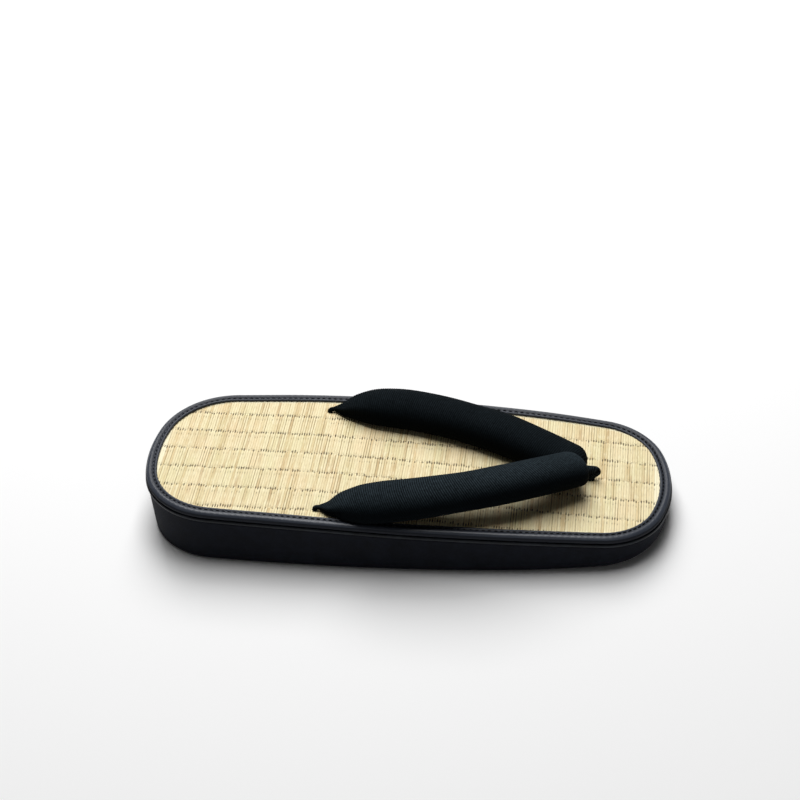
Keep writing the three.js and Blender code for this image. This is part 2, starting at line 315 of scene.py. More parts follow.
@dataclass(frozen=True)
class SoleForm:
    """The plan outline and the heights that every layer follows, in millimetres."""

    length: float = 265.0
    width: float = 107.0
    heel_height: float = 30.2
    toe_height: float = 15.6
    toe_spring: float = 3.4
    spring_start: float = 186.0
    clearance: float = 0.3
    mat_thickness: float = 2.0
    midsole_thickness: float = 1.8
    heel: EndArcs = EndArcs(0.811, 0.376, 11.4)
    toe: EndArcs = EndArcs(0.67, 0.328, 8.17)
    height_knots: tuple[float, ...] = (0, 0.153, 0.326, 0.5, 0.674, 0.847, 1)
    height_drops: tuple[float, ...] = (0, 0.075, 0.15, 0.31, 0.49, 0.73, 1)
    width_points: int = 1200

    def mat_height(self, x: Array) -> Array:
        """Height of the mat's face over the floor at x."""
        shape = np.shape(x)
        drop = CubicLine(self.height_knots, self.height_drops).at(np.ravel(x) / self.length + 0.5)
        return self.heel_height - (self.heel_height - self.toe_height) * drop[:, 0].reshape(shape)

    def tread_height(self, x: Array) -> Array:
        """Height of the tread over the floor at x: flat, then a soft rise to the toe."""
        start = self.spring_start - self.length / 2
        share = np.maximum(0, (x - start) / (self.length / 2 - start))
        return self.toe_spring * share**2

    @property
    def midsole_top(self) -> float:
        """Depth of the midsole's top face under the mat's face."""
        return self.mat_thickness + self.clearance

    @property
    def midsole_bottom(self) -> float:
        """Depth of the midsole's underside under the mat's face."""
        return self.midsole_top + self.midsole_thickness

    @property
    def foam_top(self) -> float:
        """Depth of the foam's top face under the mat's face."""
        return self.midsole_bottom + self.clearance

    def quarter(self, arcs: EndArcs, count: int) -> tuple[Array, Array]:
        """One quarter of the outline, from the middle of the side to the tip of the end.

        A side arc, a corner arc and an end arc touch one another. The corner arc's centre is where two
        circles meet: round the side arc's centre and round the end arc's centre, each with the
        difference of the two radii.

        Args:
            arcs: the three radii.
            count: points in the quarter.

        Returns:
            The points, and the outward unit normals there.
        """
        side, corner, end = arcs.side * self.width, arcs.corner * self.width, arcs.end * self.width
        side_centre = np.array([0, self.width / 2 - side])
        end_centre = np.array([self.length / 2 - end, 0])
        to_side, to_end = side - corner, end - corner
        apart = end_centre - side_centre
        span = np.hypot(*apart)
        foot = (to_side**2 - to_end**2 + span**2) / (2 * span)
        apart /= span
        offset = math.sqrt(to_side**2 - foot**2)
        corner_centre = side_centre + foot * apart + offset * np.array([apart[1], -apart[0]])
        turn_side = math.atan2(*(corner_centre - side_centre)[::-1])
        turn_end = math.atan2(*(corner_centre - end_centre)[::-1])
        turns = np.array([math.pi / 2, turn_side, turn_end, 0.0])
        radii = np.array([side, corner, end])
        centres = np.stack([side_centre, corner_centre, end_centre])
        runs = np.concatenate([[0], np.cumsum(radii * -np.diff(turns))])
        along = np.linspace(0, runs[-1], count)
        arc = np.clip(np.searchsorted(runs, along, side="right") - 1, 0, 2)
        turn = turns[arc] - (along - runs[arc]) / radii[arc]
        normal = np.stack([np.cos(turn), np.sin(turn)], axis=1)
        return centres[arc] + radii[arc][:, None] * normal, normal

    def outline(self, count: int) -> tuple[Array, Array]:
        """The whole outline as a closed ring from the heel's tip along the far side to the toe and back.

        Args:
            count: about how many points in the ring.

        Returns:
            The points, and the outward unit normals there. Moving a point by an inset against its normal
            gives the ring of that inset, because an arc's offset is an arc round the same centre.
        """
        quarter = count // 4 + 1
        toe, toe_normal = self.quarter(self.toe, quarter)
        heel, heel_normal = self.quarter(self.heel, quarter)
        turned = np.array([-1, 1])
        side = np.vstack([heel[::-1] * turned, toe[1:]])
        normal = np.vstack([heel_normal[::-1] * turned, toe_normal[1:]])
        mirrored = np.array([1, -1])
        points = np.vstack([side, side[-2:0:-1] * mirrored])
        return points, np.vstack([normal, normal[-2:0:-1] * mirrored])

    def half_width(self, x: Array, inset: float) -> Array:
        """Half the width at x of the outline moved inwards by an inset."""
        points, normal = self.outline(self.width_points)
        ring = points - inset * normal
        far = ring[: len(ring) // 2 + 1]
        return np.interp(x, far[:, 0], far[:, 1])


def closed(rows: Array) -> Array:
    """The rows of a ring with its first one again at the end."""
    return np.vstack([rows, rows[:1]])


def lengths_along(line: Array) -> Array:
    """How far along a line each of its points lies, from the first."""
    steps = np.linalg.norm(np.diff(line, axis=0), axis=1)
    return np.concatenate([[0], np.cumsum(steps)])


def carried(ring: Array, normal: Array, insets: Array, heights: Array) -> Array:
    """A profile carried round the outline.

    Point (i, j) is outline point j moved inwards by inset (i, j), at height (i, j).

    Args:
        ring: outline points.
        normal: their outward normals.
        insets: one row per profile point, one column per outline point.
        heights: the same, over the floor.

    Returns:
        The rings' points, one after the other.
    """
    flat = ring[None] - insets[..., None] * normal[None]
    return np.concatenate([flat, heights[..., None]], axis=-1).reshape(-1, 3)


def closed_layer(ring: Array, normal: Array, insets: Array, heights: Array) -> Shell:
    """A layer of the sole: a profile carried round the outline, with plates over its first and last ring.

    Args:
        ring: outline points.
        normal: their outward normals.
        insets: one per profile point.
        heights: over the floor, one row per profile point and one column per outline point.

    Returns:
        The closed layer.
    """
    rings, count = heights.shape
    faces = band_faces(rings, count, False).tolist()
    faces += [face[::-1] for face in plate_faces(0, count)]
    faces += plate_faces((rings - 1) * count, count)
    spread = np.broadcast_to(np.array(insets)[:, None], heights.shape)
    return Shell(carried(ring, normal, spread, heights), faces).outward()


# Shader building


class Varying:
    """A number that varies over a surface: an output socket with Python's operators on it."""

    def __init__(self, tree: bpy.types.NodeTree, socket: bpy.types.NodeSocket) -> None:
        """Wraps one output socket of a node tree."""
        self.tree = tree
        self.socket = socket

    def maths(self, operation: str, *terms: "Varying | float") -> "Varying":
        """Adds a Math node of one operation.

        Args:
            operation: the node's operation.
            terms: its inputs in order, linked or plain numbers.

        Returns:
            The node's result.
        """
        node = self.tree.nodes.new("ShaderNodeMath")
        node.operation = operation
        for slot, term in zip(node.inputs, terms):
            if isinstance(term, Varying):
                self.tree.links.new(term.socket, slot)
            else:
                slot.default_value = term
        return Varying(self.tree, node.outputs[0])

    def __add__(self, other: "Varying | float") -> "Varying":
        """self + other."""
        return self.maths("ADD", self, other)

    def __radd__(self, other: float) -> "Varying":
        """other + self."""
        return self.maths("ADD", other, self)

    def __sub__(self, other: "Varying | float") -> "Varying":
        """self - other."""
        return self.maths("SUBTRACT", self, other)

    def __rsub__(self, other: float) -> "Varying":
        """other - self."""
        return self.maths("SUBTRACT", other, self)

    def __mul__(self, other: "Varying | float") -> "Varying":
        """self * other."""
        return self.maths("MULTIPLY", self, other)

    def __truediv__(self, other: "Varying | float") -> "Varying":
        """self / other."""
        return self.maths("DIVIDE", self, other)

    def sine(self) -> "Varying":
        """The sine of self, in radians."""
        return self.maths("SINE", self)

    def wave(self, pitch: float) -> "Varying":
        """A sine wave of that pitch over self, from 0 to 1."""
        return (self * (2 * math.pi / pitch)).sine() * 0.5 + 0.5

    def size(self) -> "Varying":
        """self without its sign."""
        return self.maths("ABSOLUTE", self)

    def whole(self) -> "Varying":
        """self rounded down."""
        return self.maths("FLOOR", self)

    def part(self) -> "Varying":
        """What is left of self over its whole number."""
        return self.maths("FRACT", self)

    def most(self, other: "Varying | float") -> "Varying":
        """The larger of two."""
        return self.maths("MAXIMUM", self, other)


Colour = tuple[float, float, float]
Link = Varying | bpy.types.NodeSocket | float | Colour


class Dress:
    """A material under construction: a Principled shader and the nodes that feed it."""

    def __init__(self, name: str) -> None:
        """Starts a material with only its output and Principled shader.

        Args:
            name: the material's name.
        """
        self.material = bpy.data.materials.new(name)
        self.material.use_nodes = True
        self.tree = self.material.node_tree
        self.shader = next(n for n in self.tree.nodes if n.type == "BSDF_PRINCIPLED")

    def node(self, kind: str, settings: dict[str, object], inputs: dict[str | int, Link]) -> bpy.types.Node:
        """Adds one node.

        Args:
            kind: the node's type.
            settings: attributes set before anything is linked.
            inputs: socket name or number to a link, number, vector or colour.

        Returns:
            The node.
        """
        made = self.tree.nodes.new(kind)
        for key, value in settings.items():
            setattr(made, key, value)
        for key, value in inputs.items():
            self.feed(made.inputs[key], value)
        return made

    def feed(self, socket: bpy.types.NodeSocket, value: Link) -> None:
        """Links or sets one input socket."""
        if isinstance(value, Varying):
            self.tree.links.new(value.socket, socket)
        elif isinstance(value, bpy.types.NodeSocket):
            self.tree.links.new(value, socket)
        elif isinstance(value, tuple) and len(value) == 3 and socket.type == "RGBA":
            socket.default_value = (*value, 1.0)
        else:
            socket.default_value = value

    def reading(self, node: bpy.types.Node, output: str | int) -> Varying:
        """One output of a node as a varying number."""
        return Varying(self.tree, node.outputs[output])

    def place(self) -> tuple[bpy.types.NodeSocket, Varying, Varying, Varying]:
        """The place on the piece in metres.

        Returns:
            The vector, and its x, y and z.
        """
        vector = self.node("ShaderNodeTexCoord", {}, {}).outputs["Object"]
        split = self.node("ShaderNodeSeparateXYZ", {}, {"Vector": vector})
        return vector, self.reading(split, 0), self.reading(split, 1), self.reading(split, 2)

    def weave(self) -> tuple[bpy.types.NodeSocket, Varying, Varying]:
        """The cloth's own lengths in metres.

        Returns:
            The vector, the length along the piece and the length round it.
        """
        vector = self.node("ShaderNodeUVMap", {"uv_map": "weave"}, {}).outputs["UV"]
        split = self.node("ShaderNodeSeparateXYZ", {}, {"Vector": vector})
        return vector, self.reading(split, 0), self.reading(split, 1)

    def vector(self, x: Link, y: Link, z: Link) -> bpy.types.NodeSocket:
        """A vector of three numbers."""
        return self.node("ShaderNodeCombineXYZ", {}, {0: x, 1: y, 2: z}).outputs[0]

    def noise(self, vector: bpy.types.NodeSocket, scale: float, detail: float = 2.0,
              rough: float = 0.5) -> Varying:
        """Soft noise from 0 to 1 with that many lumps to the vector's unit."""
        made = self.node("ShaderNodeTexNoise", {}, {
            "Vector": vector, "Scale": scale, "Detail": detail, "Roughness": rough})
        return self.reading(made, 0)

    def stretched(self, x: Link, y: Link, z: Link, detail: float, rough: float = 0.5) -> Varying:
        """Soft noise from 0 to 1 over three numbers that already count its lumps."""
        return self.noise(self.vector(x, y, z), 1.0, detail, rough)

    def chance(self, x: Link, y: Link, z: Link) -> Varying:
        """A number from 0 to 1, different for each three numbers."""
        made = self.node("ShaderNodeTexWhiteNoise", {}, {"Vector": self.vector(x, y, z)})
        return self.reading(made, 0)

    def ramp(self, value: Varying, zero_at: Link, one_at: Link) -> Varying:
        """A smooth change from 0 at one value to 1 at another, which may be the smaller one."""
        made = self.node("ShaderNodeMapRange", {"interpolation_type": "SMOOTHSTEP"}, {
            "Value": value, "From Min": zero_at, "From Max": one_at})
        return self.reading(made, 0)

    def ramp_mm(self, length: Varying, bounds: tuple[float, float]) -> Varying:
        """A ramp over a length in metres, its two bounds in millimetres."""
        return self.ramp(length, bounds[0] * MM, bounds[1] * MM)

    def blend(self, share: Link, first: Link, second: Link) -> bpy.types.NodeSocket:
        """A colour between two colours."""
        made = self.node("ShaderNodeMix", {"data_type": "RGBA"}, {0: share, 6: first, 7: second})
        return made.outputs[2]

    def relief(self, height: Varying, depth: float) -> bpy.types.NodeSocket:
        """A bumped normal, from a height that runs from 0 to 1.

        Args:
            height: the relief.
            depth: what 1 stands for, in millimetres.

        Returns:
            The normal.
        """
        made = self.node("ShaderNodeBump", {}, {"Strength": 1.0, "Distance": depth * MM, "Height": height})
        return made.outputs[0]

    def finish(self, **inputs: Link) -> bpy.types.Material:
        """Feeds the Principled shader and hands over the material.

        Args:
            inputs: its sockets, with _ for a space in their names.

        Returns:
            The material.
        """
        for key, value in inputs.items():
            self.feed(self.shader.inputs[key.replace("_", " ")], value)
        return self.material


# Finishes


@dataclass(frozen=True)
class FoamFinish:
    """Fine-grained matte foam, blue-black. Lumps are counted to the metre."""

    deep: Colour = (0.0028, 0.0037, 0.0066)
    worn: Colour = (0.0090, 0.0112, 0.0185)
    rough: float = 0.82
    grain: float = 0.16
    flow_lumps: float = 38.0
    mottle_lumps: float = 160.0
    cell_lumps: float = 2200.0

    def material(self) -> bpy.types.Material:
        """Builds the foam: a mottle of two blacks, and a grain of closed cells in the bump."""
        d = Dress("foam")
        vector = d.place()[0]
        mottle = d.noise(vector, self.mottle_lumps, 4, 0.6)
        cells = d.noise(vector, self.cell_lumps, 3, 0.65)
        flow = d.noise(vector, self.flow_lumps, 2)
        share = d.ramp(mottle * 0.5 + cells * 0.35 + flow * 0.15, 0.32, 0.7)
        return d.finish(
            Base_Color=d.blend(share, self.deep, self.worn),
            Roughness=self.rough + (mottle - 0.5) * 0.18,
            Normal=d.relief(cells * 0.75 + mottle * 0.25, self.grain),
            Specular_IOR_Level=0.16,
        )


@dataclass(frozen=True)
class LeatherGrain:
    """The grain of synthetic leather: fine pebbles, finer pores and wide patches of wear."""

    pebble_lumps: float = 1500.0
    pore_lumps: float = 3200.0
    wear_lumps: float = 110.0
    depth: float = 0.05

    def read(self, d: Dress) -> tuple[bpy.types.NodeSocket, Varying, Varying]:
        """Adds the grain to a material.

        Args:
            d: the material under construction.

        Returns:
            The bumped normal, the pores, and the wear, both from 0 to 1.
        """
        vector = d.place()[0]
        pebbles = d.reading(d.node("ShaderNodeTexVoronoi", {"feature": "SMOOTH_F1"}, {
            "Vector": vector, "Scale": self.pebble_lumps, "Smoothness": 0.6}), 0)
        pores = d.noise(vector, self.pore_lumps, 2, 0.6)
        wear = d.noise(vector, self.wear_lumps, 4, 0.6)
        return d.relief(pebbles * 0.7 + pores * 0.3, self.depth), pores, wear


@dataclass(frozen=True)
class SatinFinish:
    """Satin sheet or thread, blue-black, with the grain of synthetic leather."""

    name: str
    deep: Colour
    bright: Colour
    rough: float
    specular: float
    grain: LeatherGrain = LeatherGrain()

    def material(self) -> bpy.types.Material:
        """Builds the sheet: two tones that follow the wear, and a gloss that varies with it."""
        d = Dress(self.name)
        normal, pores, wear = self.grain.read(d)
        share = d.ramp(wear * 0.7 + pores * 0.3, 0.35, 0.7)
        return d.finish(
            Base_Color=d.blend(share, self.deep, self.bright),
            Roughness=self.rough + (wear - 0.5) * 0.22 + (pores - 0.5) * 0.1,
            Normal=normal,
            Specular_IOR_Level=self.specular,
        )


@dataclass(frozen=True)
class BindingFinish:
    """Synthetic leather, dull on its stitched strip and wall and glossier on its crest, with painted
    highlight and shade.

    A pair holds where topside, crest or rim is 0 and where it is 1, measured from the band's outer side.
    The crest's outer side is the topside's. Uneven is how far its inner side and the rim wander.
    """

    deep: Colour = (0.0085, 0.0105, 0.0160)
    bright: Colour = (0.0440, 0.0520, 0.0700)
    topside: tuple[float, float] = (0.6, 0.95)
    crest: tuple[float, float] = (3.0, 2.1)
    rim: tuple[float, float] = (4.9, 5.5)
    uneven: float = 0.5
    uneven_lumps: float = 420.0
    gloss: float = 0.55
    rough: float = 0.46
    grain: LeatherGrain = LeatherGrain()

    def material(self) -> bpy.types.Material:
        """Builds the leather: pebbles and pores in the bump, its coat thick where the crest is."""
        d = Dress("binding")
        _, along, inset = d.weave()
        normal, pores, wear = self.grain.read(d)
        wander = d.stretched(along * self.uneven_lumps, 0.0, 0.0, 2) - 0.5
        depth = inset + wander * (self.uneven * MM)
        topside = d.ramp_mm(inset, self.topside)
        crest = topside * d.ramp_mm(depth, self.crest)
        rim = d.ramp_mm(depth, self.rim)
        # Painted light in the colour: the crest and the topside are lightened as a painted highlight, and
        # the wall outside the topside stays dark as painted shade.
        share = crest * (0.15 + wear * 0.6) + rim * 0.3 + topside * 0.36 + pores * 0.12
        return d.finish(
            Base_Color=d.blend(share, self.deep, self.bright),
            Roughness=self.rough + (wear - 0.5) * 0.2 + (1.0 - crest) * 0.22,
            Normal=normal,
            Coat_Weight=(crest * 0.6 + topside * 0.4) * self.gloss * (0.6 + wear * 0.8),
            Coat_Roughness=0.3,
            Specular_IOR_Level=0.2,
        )


@dataclass(frozen=True)
class ClothFinish:
    """Black ribbed cloth, matte, painted paler on top of the tube as a highlight and darker under it as
    shade.

    Slant, rib and girth are the skin's own: how far the ribs lean, their pitch, and the cloth round the
    tube to the radian. Tone scales the pale share, and crown is how much of it only the top has, a painted
    highlight above and painted shade below.
    """

    name: str
    slant: float
    rib: float
    girth: float
    tone: float
    crown: float = 0.9
    deep: Colour = (0.0008, 0.0016, 0.0022)
    bright: Colour = (0.0310, 0.0440, 0.0530)
    thread: float = 0.42
    pick: float = 0.336
    fuzz_lumps: float = 1700.0
    slub_lumps: float = 700.0
    fade_lumps: float = 90.0

    def material(self) -> bpy.types.Material:
        """Builds the cloth: paler on the ribs' crowns, painted paler on top as a highlight, with crossed
        threads in the bump.

        The ribs are the sine of the length along the strap plus slant * sin(angle + RIB_PHASE), as in
        its skin.
        """
        d = Dress(self.name)
        vector, along, around = d.weave()
        angle = around * (1.0 / (self.girth * MM))
        lean = (angle + RIB_PHASE).sine() * (self.slant * MM)
        ribs = (along + lean).wave(self.rib * MM)
        threads, picks = around.wave(self.thread * MM), along.wave(self.pick * MM)
        fuzz = d.noise(vector, self.fuzz_lumps, 3, 0.6)
        slub = d.noise(vector, self.slub_lumps, 3, 0.65)
        fade = d.noise(vector, self.fade_lumps, 3, 0.6)
        worn = ribs * (slub * 1.7 - 0.2) * 0.56 + fuzz * 0.5 + threads * picks * 0.14 + fade * 0.22
        # Painted light: the pale share fades from the tube's top to its underside, a painted highlight above
        # and painted shade below.
        top = d.ramp(angle.sine(), 0.25, 1.05) * self.crown + (1.0 - self.crown)
        share = d.ramp(worn, 0.25, 0.95) * top * self.tone
        return d.finish(
            Base_Color=d.blend(share, self.deep, self.bright),
            Roughness=0.86 + (fuzz - 0.5) * 0.16,
            Normal=d.relief(threads * 0.3 + picks * 0.3 + fuzz * 0.4, 0.11),
            Specular_IOR_Level=0.03,
        )


@dataclass(frozen=True)
class WeftDrift:
    """How far the weft rows move towards the near side, in a soft step along the sole."""

    start: float = -60.0
    end: float = 85.0
    size: float = 3.3


@dataclass(frozen=True)
class RushFinish:
    """Woven rush: pale dry straws that run across the sole, tied by rows of weft.

    Sway is how far the straws bend along the sole. A dash of weft lies up to half of shift off its row,
    and the dot that follows it lies echo past it. There is no weft over margin outside the first row.
    The other pairs hold how far off its middle something is 0 and how far off it is 1.
    """

    light: Colour = (0.99, 0.92, 0.66)
    pale: Colour = (0.90, 0.79, 0.49)
    warm: Colour = (0.74, 0.58, 0.30)
    peach: Colour = (0.92, 0.68, 0.40)
    green: Colour = (0.76, 0.72, 0.38)
    brown: Colour = (0.44, 0.27, 0.12)
    husk: Colour = (0.52, 0.40, 0.19)
    # Seam darkens the straws' edges: partly their own brown edges, partly painted shade in the valleys
    # between straws.
    seam: Colour = (0.32, 0.22, 0.09)
    shade: Colour = (0.075, 0.048, 0.022)
    sway: float = 0.5
    shift: float = 1.1
    echo: float = 3.7
    margin: tuple[float, float] = (7.5, 6.0)
    mark: tuple[float, float] = (0.9, 0.2)
    dot: tuple[float, float] = (1.0, 0.2)
    rim: float = 1.3

    def weft(self, d: Dress, past: Varying, row: Varying, number: Varying, gap: Varying,
             across: Varying) -> Varying:
        """The dark marks where the weft dips: dashes and dots between straws, and marks on straws.

        Args:
            d: the material under construction.
            past: metres past the nearest row.
            row: that row's number.
            number: the straw's number.
            gap: the number of the gap beside the straw.
            across: 0 at the straw's middle and 1 at its edges.

        Returns:
            How dark it is, from 0 to 1.
        """
        lucky = d.chance(gap, row, 7.0)
        inner = d.chance(number, row, 17.0)
        shifted = past + (d.chance(gap, row, 11.0) - 0.5) * (self.shift * MM)
        off, below = shifted.size(), (shifted - self.echo * MM).size()
        dash = d.ramp(off, (lucky + 0.5) * (1.05 * MM), lucky * (0.6 * MM)) * d.ramp(lucky, 0.0, 0.65)
        mark = d.ramp_mm(off, self.mark) * d.ramp(inner, 0.6, 0.9)
        dot = d.ramp_mm(below, self.dot) * d.ramp(lucky, 0.25, 0.9)
        dark = (dash * d.ramp(across, 0.4, 0.76)).most(dot * d.ramp(across, 0.5, 0.9) * 0.5)
        return dark.most(mark * d.ramp(across, 0.4, 0.08) * 0.7)

    def material(self, straw: float, rows: tuple[float, ...], rim_from: float,
                 drift: WeftDrift) -> bpy.types.Material:
        """Builds the rush: a tone for each straw, streaks along it, fibres, straw edges darkened partly as
        painted shade, and dark gaps at the weft.

        The rows are evenly spaced, so one distance past the nearest row serves them all.

        Args:
            straw: the straws' pitch.
            rows: where the weft rows lie across the sole.
            rim_from: how far inside the mat's edge the visible mat, with its paler rim, a painted highlight,
                begins.
            drift: how the rows wander off a straight line.

        Returns:
            The material.
        """
        d = Dress("rush")
        _, x, y, _ = d.place()
        y = y + d.ramp_mm(x, (drift.start, drift.end)) * (drift.size * MM)
        bend = d.stretched(x * 60.0, y * 14.0, 0.0, 1) - 0.5
        counted = (x + bend * (self.sway * MM)) / (straw * MM)
        number, gap = counted.whole(), (counted + 0.5).whole()
        across = (counted.part() - 0.5).size() * 2.0
        first, pitch = rows[0] * MM, (rows[0] - rows[1]) * MM
        band = ((y - first) / pitch).whole()
        passed = (first - y) / pitch + 0.5
        dark = self.weft(d, (passed.part() - 0.5) * pitch, passed.whole(), number, gap, across)
        dark = dark * d.ramp_mm(y, tuple(rows[0] + margin for margin in self.margin))
        tone = d.chance(number, 3.0, 0.0)
        turned = d.chance(number, band, 5.0)
        split = d.ramp(d.chance(gap, band, 13.0), 0.55, 1.0)
        streak = d.stretched(number * 7.3, y * 46.0, tone, 2)
        fibre = d.stretched(x * 2600.0, y * 240.0, 0.0, 3, 0.6)
        glint = d.stretched(x * 2200.0, y * 200.0, 31.0, 2)
        patch = d.stretched(x * 110.0, y * 34.0, 9.0, 2)
        _, _, from_rim = d.weave()
        # The paler rim along the mat's edge is a painted highlight on its rounded edge.
        rim = d.ramp_mm(from_rim + (tone - 0.5) * (0.9 * MM), (rim_from + self.rim, rim_from))
        colour = self.pale
        for share, laid in (
            (d.ramp(tone * 0.35 + turned * 0.45 + streak * 0.35, 0.40, 0.98), self.warm),
            (d.ramp(patch, 0.45, 0.72) * 0.34, self.peach),
            (d.ramp(patch, 0.52, 0.28) * 0.30, self.green),
            (d.ramp(turned * 0.5 + streak * 0.62, 0.72, 0.96) * 0.56, self.brown),
            (d.ramp(fibre, 0.47, 0.74) * 0.5, self.husk),
            (d.ramp(glint, 0.52, 0.72) * 0.55, self.light),
            # Darker straw edges: partly their own brown edges, partly painted shade in the valleys between
            # them.
            (d.ramp(across, 0.5, 1.0) * (split * 0.78 + 0.22), self.seam),
            (rim * 0.8, self.light),
            (dark * 0.92, self.shade),
        ):
            colour = d.blend(share, colour, laid)
        return d.finish(
            Base_Color=colour,
            Roughness=0.62 + (streak - 0.5) * 0.2,
            Normal=d.relief((1.0 - across * across) * 0.8 + fibre * 0.2 - dark * 0.6, 0.16),
            Specular_IOR_Level=0.35,
        )


# The pieces


@dataclass
class FoamSole:
    """Foam outsole: a straight wall, a step under the midsole, a soft edge and a diamond tread.

    Ledge is the soft rim of the top face, as insets and drops in shares of the step. Plate inset is how
    far inside its rim a flat face begins, and relief how far from the soft edge the underside steps up
    to the ribs' feet. The ribs stand back from the soft edge by tread inset, and lose run out of their
    height over run length at both ends.
    """

    form: SoleForm
    step: float = 0.8
    taper: float = 0.9
    radius: float = 2.0
    plate_inset: float = 3.0
    relief: tuple[float, float] = (1.1, 0.6)
    ledge: tuple[tuple[float, float], ...] = ((0.9, 0.35), (1.05, 0.1), (1.25, 0.0))
    around: int = 640
    edge_steps: int = 7
    wall_steps: int = 8
    rib_height: float = 0.6
    rib_width: float = 1.05
    rib_embed: float = 0.25
    pitch_along: float = 2.8
    pitch_across: float = 2.9
    tread_inset: float = 0.3
    fullness: float = 0.96
    run_out: float = 0.3
    run_length: float = 0.8
    shortest_rib: float = 4.0
    rib_steps: int = 24

    def body(self) -> Shell:
        """The foam block: rings from the tread round the soft edge and up the wall to its top face.

        Heights at the tread follow the tread line, heights at the top follow the mat line, and the wall
        runs straight between them.

        Returns:
            The closed block, its underside higher than the floor by the ribs' height.
        """
        ring, normal = self.form.outline(self.around)
        x = ring[:, 0]
        tread, top = self.form.tread_height(x), self.form.mat_height(x) - self.form.foam_top
        edge = self.step + self.taper
        land = edge + self.radius
        turn = np.radians(np.linspace(90, 0, self.edge_steps))
        wall = np.linspace(0, 1, self.wall_steps + 1)[1:]
        low, high = tread + self.radius, top - self.step
        insets = [land + inset for inset in (self.plate_inset, *self.relief)]
        insets += list(edge + self.radius * (1 - np.cos(turn)))
        insets += list(edge + (self.step - edge) * wall)
        insets += [inset * self.step for inset, _ in self.ledge] + [self.plate_inset]
        heights = [tread + self.rib_height, tread + self.rib_height, tread]
        heights += [tread + rise for rise in self.radius * (1 - np.sin(turn))]
        heights += [low + (high - low) * share for share in wall]
        heights += [top - drop * self.step for _, drop in self.ledge] + [top]
        return closed_layer(ring, normal, np.array(insets), np.array(heights))

    def tread(self) -> Shell:
        """The diamond tread: two families of ribs that cross, cut off at the outline.

        A rib lies on the line x / pitch along plus or minus y / pitch across = a whole number and a half.
        It is cut where the outline, moved inwards, changes sides of that line. Its section is a triangle
        whose foot sinks into the foam, and it runs out at both ends.

        Returns:
            All ribs as one shell.
        """
        ring, normal = self.form.outline(self.around)
        ring = ring - (self.step + self.taper + self.radius + self.tread_inset) * normal
        reach = int(self.form.length / 2 / self.pitch_along + self.form.width / 2 / self.pitch_across)
        numbers = np.arange(-reach, reach + 1) + 0.5
        starts, ends = [], []
        for sign in (1.0, -1.0):
            value = ring[:, 0] / self.pitch_along + sign * ring[:, 1] / self.pitch_across
            gap = value[None] - numbers[:, None]
            after = np.roll(gap, -1, axis=1)
            crossing = (gap < 0) != (after < 0)
            kept = crossing.sum(axis=1) == 2
            first = crossing[kept].argmax(axis=1)
            last = gap.shape[1] - 1 - crossing[kept][:, ::-1].argmax(axis=1)
            rows = np.arange(kept.sum())
            for where, found in ((first, starts), (last, ends)):
                low, high = gap[kept][rows, where], after[kept][rows, where]
                share = (low / (low - high))[:, None]
                found.append(ring[where] * (1 - share) + ring[(where + 1) % len(ring)] * share)
        start, end = np.vstack(starts), np.vstack(ends)
        kept = np.linalg.norm(end - start, axis=1) > self.shortest_rib
        start, end = start[kept], end[kept]
        share = np.linspace(0, 1, self.rib_steps)
        run = end - start
        line = start[:, None] + run[:, None] * share[None, :, None]
        length = np.linalg.norm(run, axis=1)
        beside = np.stack([-run[:, 1], run[:, 0]], axis=1) / length[:, None]
        from_end = np.minimum(share, 1 - share)[None] * length[:, None]
        lost = self.run_out * (1 - soft_step(from_end, 0, self.run_length))
        height = self.rib_height * (self.fullness - lost)
        low = self.form.tread_height(line[..., 0])
        foot = low + self.rib_height + self.rib_embed
        crest = low + self.rib_height - height
        half = self.rib_width / 2
        points = np.stack([
            np.concatenate([line + across * beside[:, None], z[..., None]], axis=-1)
            for across, z in ((-half, foot), (0.0, crest), (half, foot))
        ], axis=2)
        return Shell(points.reshape(-1, 3), tube_faces(*points.shape[:3])).outward()

    def build(self) -> None:
        """Makes the block and its tread, both in foam."""
        foam = FoamFinish().material()
        add_piece("foam_outsole", self.body(), foam, ("outsole",))
        add_piece("diamond_tread", self.tread(), foam, crease=20.0)


@dataclass
class MidsoleLip:
    """Thin midsole sheet whose rounded edge stands proud all round.

    Bulge is the edge's depth as a share of half its thickness, and flats are insets on its two faces.
    """

    form: SoleForm
    around: int = 640
    edge_steps: int = 9
    bulge: float = 0.75
    flats: tuple[float, float] = (6.0, 3.0)
    finish: SatinFinish = SatinFinish(
        "midsole", deep=(0.005, 0.0065, 0.009), bright=(0.016, 0.021, 0.028), rough=0.46, specular=0.25,
        grain=LeatherGrain(depth=0.04))

    def build(self) -> None:
        """Makes the sheet: its edge is half a round, and its faces run inwards under mat and foam."""
        ring, normal = self.form.outline(self.around)
        half = self.form.midsole_thickness / 2
        turn = np.radians(np.linspace(-90, 90, self.edge_steps))
        inset = np.concatenate([self.flats, half * self.bulge * (1 - np.cos(turn)), self.flats[::-1]])
        drop = np.concatenate([[half, half], -half * np.sin(turn), [-half, -half]])
        middle = self.form.mat_height(ring[:, 0]) - self.form.midsole_top - half
        shell = closed_layer(ring, normal, inset, middle[None] - drop[:, None])
        add_piece("midsole_lip", shell, self.finish.material(), ("midsole",))


